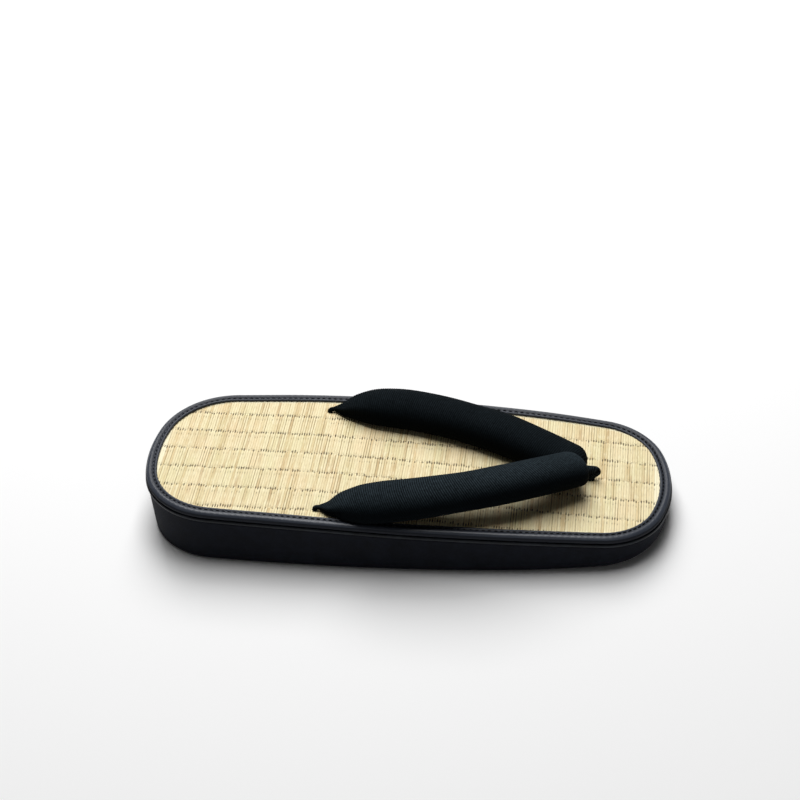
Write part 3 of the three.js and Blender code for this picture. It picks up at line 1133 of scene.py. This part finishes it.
@dataclass
class RushMat:
    """Rush mat: straws across the sole that dip at the weft rows and at the holes of straps and post.

    Inset is how far the mat ends inside the sole's outline, covered how much of it the binding hides, and
    reach where it ends at heel and toe. A weft row has a furrow, and a swell on both sides of it.
    """

    form: SoleForm
    holes: tuple[tuple[float, float], ...]
    inset: float = 1.8
    covered: float = 4.7
    reach: float = 129.0
    straw: float = 1.25
    crown: float = 0.2
    lowest_crown: float = 0.55
    seed: int = 7
    weft_first: float = 33.0
    weft_pitch: float = 14.775
    weft_rows: int = 6
    drift: WeftDrift = WeftDrift()
    weft_dip: float = 0.16
    weft_width: float = 0.8
    swell_from: float = 2.2
    swell_width: float = 1.2
    across: int = 170
    funnel_depth: float = 1.1
    funnel_radius: float = 2.6

    @property
    def rows(self) -> tuple[float, ...]:
        """Where the weft rows lie across the sole."""
        return tuple(self.weft_first - i * self.weft_pitch for i in range(self.weft_rows))

    def relief(self, x: Array, y: Array) -> Array:
        """How far the mat's face stands off its own height line: straws, weft rows and funnels summed.

        Each straw has a crest point and a valley point along x, and a crest of its own height. The weft
        rows are straight in drifted, which is y plus their drift at x.

        Args:
            x: one place per column.
            y: one row of places per column.

        Returns:
            Millimetres for each place.
        """
        rng = np.random.default_rng(self.seed)
        heights = np.repeat(rng.uniform(self.lowest_crown, 1.0, len(x) // 2 + 1), 2)[:len(x)]
        crest = (np.arange(len(x)) % 2) * heights
        relief = -self.crown * (1 - crest)[:, None] * np.ones_like(y)
        drifted = y + self.drift.size * soft_step(x, self.drift.start, self.drift.end)[:, None]
        for row in self.rows:
            relief -= self.weft_dip * bump_at(drifted, row, self.weft_width)
            for side in (1, -1):
                beside = row + side * self.swell_from
                relief += 0.5 * self.weft_dip * bump_at(drifted, beside, self.swell_width)
        for hole_x, hole_y in self.holes:
            away = np.hypot(x[:, None] - hole_x, y - hole_y)
            relief -= self.funnel_depth * bump_at(away, 0.0, self.funnel_radius)
        return relief

    def faces(self, count: int) -> tuple[list[list[int]], Array]:
        """The sheet's faces: quads over the grid, a wall down from its rim, and strips under it.

        Args:
            count: the grid's columns.

        Returns:
            The faces, and the rim's grid points in order. Under each lies one more point of the wall.
        """
        last = self.across - 1
        index = np.arange(count * self.across).reshape(count, self.across)
        quads = np.stack([index[:-1, :-1], index[1:, :-1], index[1:, 1:], index[:-1, 1:]], axis=-1)
        rim = np.concatenate([index[:, 0], index[-1, 1:], index[-2::-1, last], index[0, last - 1:0:-1]])
        under = count * self.across + np.arange(len(rim))
        walls = np.stack([rim, under, np.roll(under, -1), np.roll(rim, -1)], axis=-1)
        near = under[:count]
        far = under[count + last - 1: count + last + count - 1][::-1]
        plates = np.stack([near[1:-2], far[1:-2], far[2:-1], near[2:-1]], axis=-1)
        toe_end = [near[-2], far[-2], *under[count - 1: count + last][::-1]]
        heel_end = [far[1], near[1], near[0], *under[count + last + count - 1:][::-1], far[0]]
        faces = quads.reshape(-1, 4).tolist() + walls.tolist() + plates.tolist()
        return faces + [[int(i) for i in end] for end in (toe_end, heel_end)], rim

    def build(self) -> None:
        """Makes the mat: a sheet over a grid, whose column j lies at a fixed share of the width at its x.

        The sheet's rim goes straight down to a flat underside.
        """
        count = int(2 * self.reach / (self.straw / 2))
        x = np.linspace(-self.reach, self.reach, count)
        share = np.linspace(-1, 1, self.across)[None]
        half = self.form.half_width(x, self.inset)[:, None]
        y = share * half
        surface = self.form.mat_height(x)[:, None]
        top = np.stack(np.broadcast_arrays(x[:, None], y, surface + self.relief(x, y)), axis=-1)
        low = np.stack(np.broadcast_arrays(x[:, None], y, surface - self.form.mat_thickness), axis=-1)
        faces, rim = self.faces(count)
        points = np.vstack([top.reshape(-1, 3), low.reshape(-1, 3)[rim]])
        from_rim = np.minimum((1 - np.abs(share)) * half, self.reach - np.abs(x)[:, None])
        sheet = paired(x[:, None], from_rim)
        rush = RushFinish().material(self.straw, self.rows, self.covered, self.drift)
        shell = Shell(points, faces, np.vstack([sheet, sheet[rim]]))
        add_piece("rush_mat", shell, rush, ("mat_insole",), crease=60.0)


@dataclass
class EdgeBinding:
    """Binding folded over the mat's edge, puckered by a line of running stitches.

    A profile point has its inset as a share of the width, its height over the mat's face as a share of
    the rise, and its depth under that face as a share of the mat's thickness. The first points are the
    inner rim, which moves with the stitches. Wall is the inset of the fold's hidden side. A pull is how
    strongly a stitch draws the band down, or up where negative, how far from the stitches' line, and
    how wide. A swell is a slow wave of the crest: its height, its length and its phase.
    """

    form: SoleForm
    width: float = 6.2
    rise: float = 1.2
    wall: float = 1.5
    around: int = 1400
    stitch_pitch: float = 3.1
    stitch_length: float = 2.1
    stitch_radius: float = 0.34
    stitch_inset: float = 4.35
    stitch_bend: float = 0.34
    stitch_tip: float = 0.2
    stitch_steps: int = 7
    stitch_sides: int = 6
    fine_around: int = 4000
    pucker: float = 0.14
    rim_points: int = 5
    rim_pucker: float = 0.12
    inner_height: float = 0.12
    crest_from: float = 0.5
    groove_height: float = 0.62
    stitch_lift: float = 0.16
    pulls: tuple[tuple[float, float, float], ...] = ((1.0, 0.0, 1.1), (-0.6, -1.9, 0.9), (-0.5, 1.35, 0.5))
    swells: tuple[tuple[float, float, float], ...] = ((0.05, 17.0, 0.0), (0.04, 7.3, 1.0))
    profile: tuple[tuple[float, float, float], ...] = (
        (1, 0.12, 0), (1.005, 0.45, 0), (0.985, 0.72, 0), (0.94, 0.9, 0), (0.88, 0.96, 0),
        (0.81, 0.92, 0), (0.75, 0.74, 0), (0.70, 0.62, 0), (0.65, 0.74, 0), (0.59, 0.93, 0),
        (0.52, 1.03, 0), (0.44, 1.05, 0), (0.36, 1.0, 0), (0.28, 0.87, 0), (0.21, 0.64, 0),
        (0.15, 0.36, 0), (0.10, 0.04, 0), (0.07, 0, 0.15), (0.055, 0, 0.32), (0.055, 0, 0.52),
        (0.075, 0, 0.7), (0.11, 0, 0.86), (0.16, 0, 0.97), (0.2, 0, 1),
    )

    def stitch_count(self, ring: Array) -> int:
        """How many whole stitches go round the outline."""
        return round(lengths_along(closed(ring))[-1] / self.stitch_pitch)

    def band(self) -> Shell:
        """The folded band: its profile carried round, pinched towards the mat at every stitch.

        Returns:
            The closed band, whose inner wall and underside are plain.
        """
        ring, normal = self.form.outline(self.around)
        surface = self.form.mat_height(ring[:, 0])
        lengths = lengths_along(closed(ring))
        along = lengths[:-1]
        pinch = 0.5 + 0.5 * np.cos(along / lengths[-1] * self.stitch_count(ring) * 2 * np.pi)[None]
        rows = np.array(self.profile)
        inset = rows[:, 0] * self.width
        height = rows[:, 1] * self.rise - rows[:, 2] * self.form.mat_thickness
        from_stitch = inset - self.stitch_inset
        pull = sum(share * bump_at(from_stitch, at, width) for share, at, width in self.pulls)
        slow = sum(high * np.sin(along / long + phase) for high, long, phase in self.swells)
        raised = (rows[:, 1] > self.crest_from)[:, None]
        insets = np.repeat(inset[:, None], len(ring), axis=1)
        insets[:self.rim_points] -= self.rim_pucker * pinch
        heights = surface[None] + height[:, None] - self.pucker * pinch * pull[:, None] + raised * slow[None]
        insets = np.vstack([insets, np.full((2, len(ring)), self.wall)])
        inner = surface + self.inner_height * self.rise
        heights = np.vstack([heights, surface - self.form.mat_thickness, inner])
        points = carried(ring, normal, insets, heights)
        faces = band_faces(len(insets), len(ring), True).tolist()
        return Shell(points, faces, paired(along, insets)).outward()

    def stitches(self) -> Shell:
        """The running stitches: short bent grains in the band's groove.

        Each is a ring of points carried over a few stations. It is thickest at its middle, and its ends
        dive into the band.

        Returns:
            All stitches as one shell.
        """
        outline, normal = self.form.outline(self.fine_around)
        count = self.stitch_count(outline)
        ring, turned = closed(outline - self.stitch_inset * normal), closed(normal)
        along = lengths_along(ring)
        middle = (np.arange(count) + 0.5) / count * along[-1]
        share = np.linspace(-1, 1, self.stitch_steps)
        where = (middle[:, None] + share[None] * self.stitch_length / 2) % along[-1]
        x, y = (np.interp(where, along, ring[:, i])[..., None] for i in range(2))
        out_x, out_y = (np.interp(where, along, turned[:, i])[..., None] for i in range(2))
        radius = self.stitch_radius * np.sqrt(1 - (1 - self.stitch_tip**2) * share**2)[None, :, None]
        base = self.form.mat_height(x) + self.groove_height * self.rise + self.stitch_lift
        z = base - self.stitch_bend * share[None, :, None] ** 2
        turn = np.linspace(0, 2 * np.pi, self.stitch_sides, endpoint=False)[None, None]
        side, up = np.cos(turn) * radius, np.sin(turn) * radius
        points = np.stack([x + out_x * side, y + out_y * side, z + up], axis=-1)
        return Shell(points.reshape(-1, 3), tube_faces(*points.shape[:3])).outward()

    def build(self) -> None:
        """Makes the band in leather and the stitches in dark thread."""
        thread = SatinFinish(
            "thread", deep=(0.002, 0.0024, 0.004), bright=(0.006, 0.007, 0.010), rough=0.7, specular=0.1)
        band, stitches = self.band(), self.stitches()
        leather = BindingFinish().material()
        add_piece("leather_binding", band, leather, ("edge_binding",), crease=75.0)
        add_piece("running_stitches", stitches, thread.material())


@dataclass(frozen=True)
class StrapRow:
    """One section of a strap, in shares of the strap's own sizes.

    Along is its share of the way to the front end. Under and over are its distance from the sole's middle
    line as a share of the anchor's, for the far strap, which lies under, and for the near one. Wide, dome
    and belly are its width, its height over the line and its depth under it, rest is its lift off the
    mat, lean its tilt in degrees, and arch how far the near strap arches there.
    """

    along: float
    under: float
    over: float
    wide: float
    dome: float
    belly: float
    rest: float
    lean: float
    arch: float


STRAP_ROWS = (
    StrapRow(0.022, 0.995, 1.015, 0.12, 0.12, 0.28, 0.25, 0, 0),
    StrapRow(0.066, 0.975, 1.042, 0.36, 0.36, 0.5, 0.15, 0, 0),
    StrapRow(0.119, 0.968, 1.04, 0.64, 0.68, 0.78, 0.3, 0, 0.04),
    StrapRow(0.191, 0.965, 1.032, 0.91, 0.96, 0.9, 0.5, 0, 0.12),
    StrapRow(0.271, 0.945, 1.018, 1, 1.04, 0.97, 0.7, 0, 0.25),
    StrapRow(0.375, 0.89, 1.002, 0.98, 1.04, 1.1, 0.8, 1, 0.47),
    StrapRow(0.54, 0.752, 0.931, 0.94, 1, 1.25, 1, 2, 0.85),
    StrapRow(0.74, 0.498, 0.735, 0.9, 1, 1.4, 0.9, 4, 1),
    StrapRow(0.88, 0.27, 0.5, 0.88, 0.98, 1.4, 0.7, 4, 0.95),
    StrapRow(1, 0.065, 0.22, 0.88, 0.92, 1.3, 0.6, 3, 0.65),
)


@dataclass(frozen=True)
class Dent:
    """A soft dent in the padding, or a swell where depth is positive.

    At is millimetres along the strap from its stem's foot, and reach how far along it spreads. Turned is
    radians round the section, from its far side over its top.
    """

    at: float
    turned: float
    depth: float
    reach: float


DENTS = (
    Dent(34, 0.9, -0.45, 12),
    Dent(58, 2.3, -0.4, 15),
    Dent(86, 1.2, -0.5, 14),
    Dent(112, 2.0, -0.35, 11),
    Dent(46, 1.7, 0.35, 14),
    Dent(98, 0.6, 0.3, 10),
    Dent(72, 2.7, 0.3, 12),
)


@dataclass(frozen=True)
class SideForm:
    """What differs between the two straps besides their lines.

    Nose is how long the rounded front end is, and bluntness how round: 1 is an ellipse, less is blunter.
    Slant is how far the ribs lean along the strap, and tone scales the pale share of the cloth: the far
    strap's lower tone is painted shade on the same cloth.
    """

    nose: float
    bluntness: float
    slant: float
    tone: float


SIDE_FORMS = {
    Side.NEAR: SideForm(nose=7.0, bluntness=0.75, slant=4.2, tone=1.0),
    # The far strap's tone of 0.36 is painted shade: the same cloth as the near strap, darkened where less
    # light falls.
    Side.FAR: SideForm(nose=8.8, bluntness=1.0, slant=-0.6, tone=0.36),
}


@dataclass
class PaddedStrap:
    """One padded strap of ribbed cloth, from its point in the mat to the joint over the toe post.

    Thinning and rounding are how much flatter the dome and deeper the belly get where the strap arches.
    Girth is the cloth round the section to the radian. Under ribs is the ribs' height on the underside
    as a share. Ribs begin and folds rise and fall between two distances from the point. A fold wave has
    its height, its number round the section and its phase. Dense is at how many places the line is
    measured, so that the stations come out evenly spaced.
    """

    form: SoleForm
    side: Side
    rest_unit: float = 1.2
    anchor_from_heel: float = 89.9
    anchor_spacing: float = 79.0
    anchor_stagger: float = 4.2
    toe_hole_from_heel: float = 224.5
    width: float = 26.0
    dome: float = 9.6
    belly: float = 4.0
    setback: float = 2.4
    arch: float = 5.2
    thinning: float = 0.08
    rounding: float = 0.4
    stem: float = 1.25
    stem_depth: float = 7.4
    flatness: float = 0.9
    stations: int = 620
    dense: int = 4000
    nose_stations: int = 36
    nose_turn: float = 86.0
    sides: int = 88
    rib_pitch: float = 1.08
    rib_height: float = 0.09
    rib_start: tuple[float, float] = (1.0, 10.0)
    under_ribs: float = 0.35
    girth: float = 9.0
    fold: float = 0.32
    fold_waves: tuple[tuple[float, int, float], ...] = ((1.0, 5, 0.7), (0.5, 8, -1.1))
    fold_rise: tuple[float, float] = (2.0, 9.0)
    fold_fall: tuple[float, float] = (14.0, 40.0)
    seam_depth: float = 0.5
    seam_width: float = 0.07
    rows: tuple[StrapRow, ...] = STRAP_ROWS
    dents: tuple[Dent, ...] = DENTS

    @property
    def near(self) -> bool:
        """Whether this is the near strap, which lies over the far one."""
        return self.side is Side.NEAR

    @property
    def own(self) -> SideForm:
        """What this strap doesn't share with the other."""
        return SIDE_FORMS[self.side]

    @property
    def anchor(self) -> tuple[float, float]:
        """Where the strap's point goes into the mat."""
        half = self.anchor_stagger / 2
        x = self.anchor_from_heel - self.side.value * half - self.form.length / 2
        return x, self.side.value * self.anchor_spacing / 2

    def path(self) -> tuple[Array, Array]:
        """The strap's line and sizes at its rows.

        Returns:
            The centres from the stem's foot to the front end, and half width, dome, belly, lean and the
            share of arching there.
        """
        anchor_x, anchor_y = self.anchor
        end_x = self.toe_hole_from_heel - self.form.length / 2 - self.setback - self.own.nose
        along, under, over, wide, dome, belly, rest, lean, arch = np.array(
            [astuple(row) for row in self.rows]).T
        x = anchor_x + (end_x - anchor_x) * along
        y = (over if self.near else under) * anchor_y
        arch = arch if self.near else 0.0 * arch
        half = wide * self.width / 2
        dome = dome * self.dome * (1 - self.thinning * arch)
        belly = belly * self.belly * (1 + self.rounding * arch)
        lean = self.side.value * np.radians(lean)
        z = self.form.mat_height(x) + self.rest_unit * rest + belly + self.arch * arch
        floor = float(self.form.mat_height(np.array([anchor_x]))[0])
        stems = [[anchor_x, anchor_y, floor - self.stem_depth], [anchor_x, anchor_y, floor]]
        centres = np.vstack([stems, np.stack([x, y, z], axis=1)])
        sizes = np.stack([half, dome, belly, lean, arch], axis=1)
        return centres, np.vstack([[[self.stem, self.stem, self.stem, 0.0, 0.0]] * 2, sizes])

    def axes(self, line: CentripetalLine, share: Array, tangent: Array,
             lean: Array) -> tuple[Array, Array]:
        """The section's two axes, turned about the line by its lean.

        The one across is level before that turn. The upright stem has the one of the strap's first row.

        Args:
            line: the strap's line.
            share: places along it.
            tangent: its directions there.
            lean: the turn in radians there.

        Returns:
            The unit vectors across the line and over it.
        """
        run = line.at(np.maximum(share, 2 / line.spans))[1].copy()
        run[:, 2] = 0
        run /= np.linalg.norm(run, axis=1, keepdims=True)
        level = np.cross([0.0, 0.0, 1.0], run)
        over = np.cross(tangent, level)
        over /= np.linalg.norm(over, axis=1, keepdims=True)
        cos, sin = np.cos(lean), np.sin(lean)
        return tuple(axis * cos + np.cross(tangent, axis) * sin for axis in (level, over))

    def shell(self) -> Shell:
        """The strap's skin: a domed section carried along its line, with ribs, gathers and dents.

        A section's point at angle a is centre + half width * cos a across + depth * sin a over it, where
        the depth is the dome above and the belly below. Below, cosine and sine are taken to a power under
        1 where the strap lies on the mat, which flattens its underside. Each point then moves along the
        section's own normal by its push. At the front end the section shrinks and runs ahead of the
        line's last point, as a rounded nose.

        Returns:
            The closed skin with its cloth lengths.
        """
        centres, sizes = self.path()
        line = CentripetalLine(centres)
        size_line = CubicLine(np.linspace(0, 1, len(centres)), sizes)
        dense = np.linspace(0, 1, self.dense)
        travelled = lengths_along(line.at(dense)[0])
        even = np.interp(np.linspace(0, travelled[-1], self.stations), travelled, dense)
        turn = np.radians(np.linspace(0, self.nose_turn, self.nose_stations + 1)[1:])
        share = np.concatenate([even, np.ones(self.nose_stations)])
        shrink = np.concatenate([np.ones(self.stations), np.cos(turn) ** self.own.bluntness])
        ahead = np.concatenate([np.zeros(self.stations), self.own.nose * np.sin(turn)])
        half, dome, belly, lean, arch = size_line.at(share).T
        place, tangent = line.at(share)
        level, over = self.axes(line, share, tangent, lean[:, None])
        place = place + tangent * ahead[:, None]
        angle = np.linspace(0, 2 * np.pi, self.sides, endpoint=False)[None]
        cos, sin = np.cos(angle), np.sin(angle)
        depth = np.where(sin > 0, dome[:, None], belly[:, None])
        power = np.where(sin > 0, 1.0, 2 / (2 + self.flatness * (1 - arch[:, None])))
        across_u = (half * shrink)[:, None] * np.sign(cos) * np.abs(cos) ** power
        over_u = depth * shrink[:, None] * np.sign(sin) * np.abs(sin) ** power
        length = np.interp(share, dense, travelled) + ahead
        push = self.push(length[:, None], angle, shrink[:, None])
        normal_u, normal_v = cos / np.maximum(half[:, None], 1), sin / np.maximum(depth, 1)
        scale = np.hypot(normal_u, normal_v)
        across_u, over_u = across_u + push * normal_u / scale, over_u + push * normal_v / scale
        points = swept(place, level, over, across_u, over_u)
        rings, count = points.shape[:2]
        tips = np.vstack([place[0], place[-1] + tangent[-1] * (self.own.nose - ahead[-1])])
        faces = band_faces(rings, count, False).tolist()
        ring = np.arange(count)
        beside = (ring + 1) % count
        first, last = np.full(count, rings * count), np.full(count, rings * count + 1)
        faces += np.stack([first, beside, ring], axis=1).tolist()
        faces += np.stack([last, ring + (rings - 1) * count, beside + (rings - 1) * count], axis=1).tolist()
        weave = np.vstack([paired(length[:, None], angle * self.girth), [[length[0], 0], [length[-1], 0]]])
        return Shell(np.vstack([points.reshape(-1, 3), tips]), faces, weave).outward()

    def push(self, length: Array, angle: Array, shrink: Array) -> Array:
        """How far each point of the skin stands off its plain section.

        The sum of the ribs, which are shallower on the underside, the gathered folds near the strap's
        point, the soft dents, and the sewn seam along the middle of the underside.

        Args:
            length: millimetres along the strap, one per ring.
            angle: round the section, one per point of a ring.
            shrink: 1 along the strap, falling to 0 over the rounded end.

        Returns:
            Millimetres outwards for each ring and point.
        """
        from_point = length - self.stem_depth
        fade = soft_step(from_point, *self.rib_start) * shrink
        lean = self.own.slant * np.sin(angle + RIB_PHASE)
        ribs = self.rib_height * np.sin(2 * np.pi * (length + lean) / self.rib_pitch) * fade
        ribs = ribs * (self.under_ribs + (1 - self.under_ribs) * soft_step(np.sin(angle), 0.0, 0.8))
        gathers = soft_step(from_point, *self.fold_rise) * (1 - soft_step(from_point, *self.fold_fall))
        waves = sum(high * np.cos(count * angle + phase) for high, count, phase in self.fold_waves)
        folds = self.fold * gathers * waves
        dents = sum(dent.depth * bump_at(length, dent.at, dent.reach)
                    * np.maximum(np.cos(angle - dent.turned), 0) ** 3 for dent in self.dents)
        from_seam = np.abs(np.angle(np.exp(1j * (angle + np.pi / 2))))
        seam = -self.seam_depth * bump_at(from_seam, 0.0, self.seam_width) * fade
        return ribs + folds + dents * fade + seam

    def build(self) -> None:
        """Makes the strap as a padded piece, in cloth whose ribs lie as in its skin."""
        name = "padded_strap_near" if self.near else "padded_strap_far"
        cloth = ClothFinish(f"{name}_cloth", slant=self.own.slant, rib=self.rib_pitch, girth=self.girth,
                            tone=self.own.tone)
        piece = add_piece(name, self.shell(), cloth.material(), ("strap_upper",), crease=180.0)


@dataclass(frozen=True)
class PostRow:
    """One section of the post.

    Ahead and up place it, as shares of the post's reach from its back end to the hole and of its rise over
    the mat. Half, front and back are its sizes in shares of the post's radius.
    """

    ahead: float
    up: float
    half: float
    front: float
    back: float


@dataclass
class ToePost:
    """Short cloth cord that bends out of the joint of the straps and down through the mat."""

    form: SoleForm
    hole_from_heel: float = 224.5
    radius: float = 2.9
    reach: float = 8.5
    rise: float = 6.4
    stem_depth: float = 7.4
    turn_pitch: float = 0.9
    turn_height: float = 0.022
    tone: float = 0.85
    stations: int = 90
    sides: int = 40
    rows: tuple[PostRow, ...] = (
        PostRow(1, 0, 0.72, 0.68, 0.8),
        PostRow(1.1, 0.33, 0.7, 0.8, 0.7),
        PostRow(1.27, 0.66, 0.5, 1, 0.45),
        PostRow(0.8, 0.8, 0.85, 0.68, 0.7),
        PostRow(0, 0.88, 1, 0.8, 0.85),
    )

    @property
    def hole(self) -> tuple[float, float]:
        """Where the post goes into the mat."""
        return self.hole_from_heel - self.form.length / 2, 0.0

    def build(self) -> None:
        """Makes the post: an uneven round section along a bent line, with fine turns of cloth.

        A section's point at angle a is half width * cos a across + depth * sin a, where the depth is the
        front size on the outer side of the bend and the back size on its inner side.
        """
        hole_x = self.hole[0]
        floor = float(self.form.mat_height(np.array([hole_x]))[0])
        rows = np.array([astuple(row) for row in self.rows])
        x = hole_x - self.reach + rows[:, 0] * self.reach
        z = floor + rows[:, 1] * self.rise
        centres = np.vstack([[hole_x, 0, floor - self.stem_depth],
                             np.stack([x, np.zeros_like(x), z], axis=1)])
        sizes = np.vstack([rows[0, 2:], rows[:, 2:]]) * self.radius
        share = np.linspace(0, 1, self.stations)
        place, tangent = CentripetalLine(centres).at(share)
        half, front, back = CubicLine(np.linspace(0, 1, len(centres)), sizes).at(share).T
        level = np.broadcast_to([0.0, 1.0, 0.0], place.shape)
        angle = np.linspace(0, 2 * np.pi, self.sides, endpoint=False)[None]
        depth = np.where(np.sin(angle) > 0, back[:, None], front[:, None])
        length = lengths_along(place)[:, None]
        turns = 1 + self.turn_height * np.sin(2 * np.pi * length / self.turn_pitch)
        across, inwards = half[:, None] * np.cos(angle) * turns, depth * np.sin(angle) * turns
        points = swept(place, level, np.cross(tangent, level), across, inwards)
        faces = tube_faces(1, *points.shape[:2])
        shell = Shell(points.reshape(-1, 3), faces, paired(length, angle * self.radius)).outward()
        cloth = ClothFinish("post_cloth", slant=0.0, rib=self.turn_pitch, girth=self.radius,
                            tone=self.tone, crown=0.0)
        add_piece("cloth_toe_post", shell, cloth.material(), ("toe_post",))


# The studio


def standing(right: Array, up: Array, back: Array, place: Array) -> Matrix:
    """The matrix of a light or a camera, from its three axes and its place in metres."""
    columns = np.eye(4)
    columns[:3] = np.stack([right, up, back, place], axis=1)
    return Matrix(columns.tolist())


@dataclass(frozen=True)
class Softbox:
    """One square area light that looks at the sandal's middle. Its place and edge are in metres."""

    name: str
    place: tuple[float, float, float]
    edge: float
    power: float
    target: tuple[float, float, float] = (0.0, 0.0, 0.02)

    def build(self) -> None:
        """Makes the light, its -Z axis turned to its target and its X axis level."""
        lamp = bpy.data.lights.new(self.name, "AREA")
        lamp.shape = "SQUARE"
        lamp.size = self.edge
        lamp.energy = self.power
        place = np.array(self.place)
        back = place - np.array(self.target)
        back /= np.linalg.norm(back)
        right = np.cross([0.0, 0.0, 1.0], back)
        right /= np.linalg.norm(right)
        add_object(self.name, lamp).matrix_world = standing(right, np.cross(back, right), back, place)


@dataclass
class Studio:
    """Pale floor, soft light and a camera at the photograph's angle.

    Angles are in degrees. Distance and shifts are in millimetres and place the camera from the sandal's
    middle. Floor reach and clips are in metres.
    """

    yaw: float = 9.534
    pitch: float = 36.515
    roll: float = -4.448
    focal_pixels: float = 1913.6
    frame_pixels: float = 800.0
    sensor_width: float = 36.0
    clips: tuple[float, float] = (0.01, 50.0)
    distance: float = 977.76
    shift_right: float = 5.019
    shift_up: float = -52.387
    floor_reach: float = 6.0
    floor_tone: Colour = (0.92, 0.92, 0.92)
    world_strength: float = 0.03
    lights: tuple[Softbox, ...] = (
        Softbox("low_key", (-0.2, 1.05, 1.18), 0.95, 19.0),
        Softbox("high_key", (-0.08, 0.28, 1.57), 0.95, 15.0),
        Softbox("fill", (0.5, -1.2, 0.9), 1.2, 0.7),
    )

    def camera(self) -> None:
        """Makes the camera from its yaw, pitch and roll, the sandal off its middle as in the photograph."""
        yaw, pitch, roll = (math.radians(v) for v in (self.yaw, self.pitch, self.roll))
        back = np.array([math.sin(yaw) * math.cos(pitch), -math.cos(yaw) * math.cos(pitch), math.sin(pitch)])
        level = np.array([math.cos(yaw), math.sin(yaw), 0.0])
        up = np.cross(back, level)
        right = math.cos(roll) * level + math.sin(roll) * up
        upright = -math.sin(roll) * level + math.cos(roll) * up
        place = back * self.distance - self.shift_right * right - self.shift_up * upright
        lens = bpy.data.cameras.new("camera")
        lens.sensor_width = self.sensor_width
        lens.lens = self.sensor_width * self.focal_pixels / self.frame_pixels
        lens.clip_start, lens.clip_end = self.clips
        holder = add_object("camera", lens)
        holder.matrix_world = standing(right, upright, back, place * MM)
        bpy.context.scene.camera = holder

    def floor(self) -> None:
        """Makes the floor, a pale matte plane under the sandal."""
        r = self.floor_reach
        mesh = bpy.data.meshes.new("floor")
        mesh.from_pydata([(-r, -r, 0), (r, -r, 0), (r, r, 0), (-r, r, 0)], [], [(0, 1, 2, 3)])
        mesh.materials.append(Dress("floor").finish(Base_Color=self.floor_tone, Roughness=0.9))
        plane = add_object("floor", mesh)

    def build(self) -> None:
        """Makes floor, lights, world and camera."""
        world = bpy.data.worlds.new("studio")
        world.use_nodes = True
        sky = next(n for n in world.node_tree.nodes if n.type == "BACKGROUND")
        sky.inputs["Color"].default_value = (1.0, 1.0, 1.0, 1.0)
        sky.inputs["Strength"].default_value = self.world_strength
        bpy.context.scene.world = world
        bpy.context.scene.view_settings.view_transform = "Standard"
        for light in self.lights:
            light.build()
        self.floor()
        self.camera()


@dataclass
class Sandal:
    """The whole sandal, from the floor up."""

    form: SoleForm = SoleForm()

    def build(self) -> None:
        """Makes every layer in order, then the straps and the post."""
        straps = [PaddedStrap(self.form, side) for side in Side]
        post = ToePost(self.form)
        FoamSole(self.form).build()
        MidsoleLip(self.form).build()
        RushMat(self.form, (*(strap.anchor for strap in straps), post.hole)).build()
        EdgeBinding(self.form).build()
        for strap in straps:
            strap.build()
        post.build()


def main() -> None:
    """Loads the frame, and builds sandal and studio."""
    logging.basicConfig(level=logging.INFO, format="%(name)s: %(message)s")
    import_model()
    Sandal().build()
    Studio().build()
    bpy.context.view_layer.update()


if __name__ == "__main__":
    main()
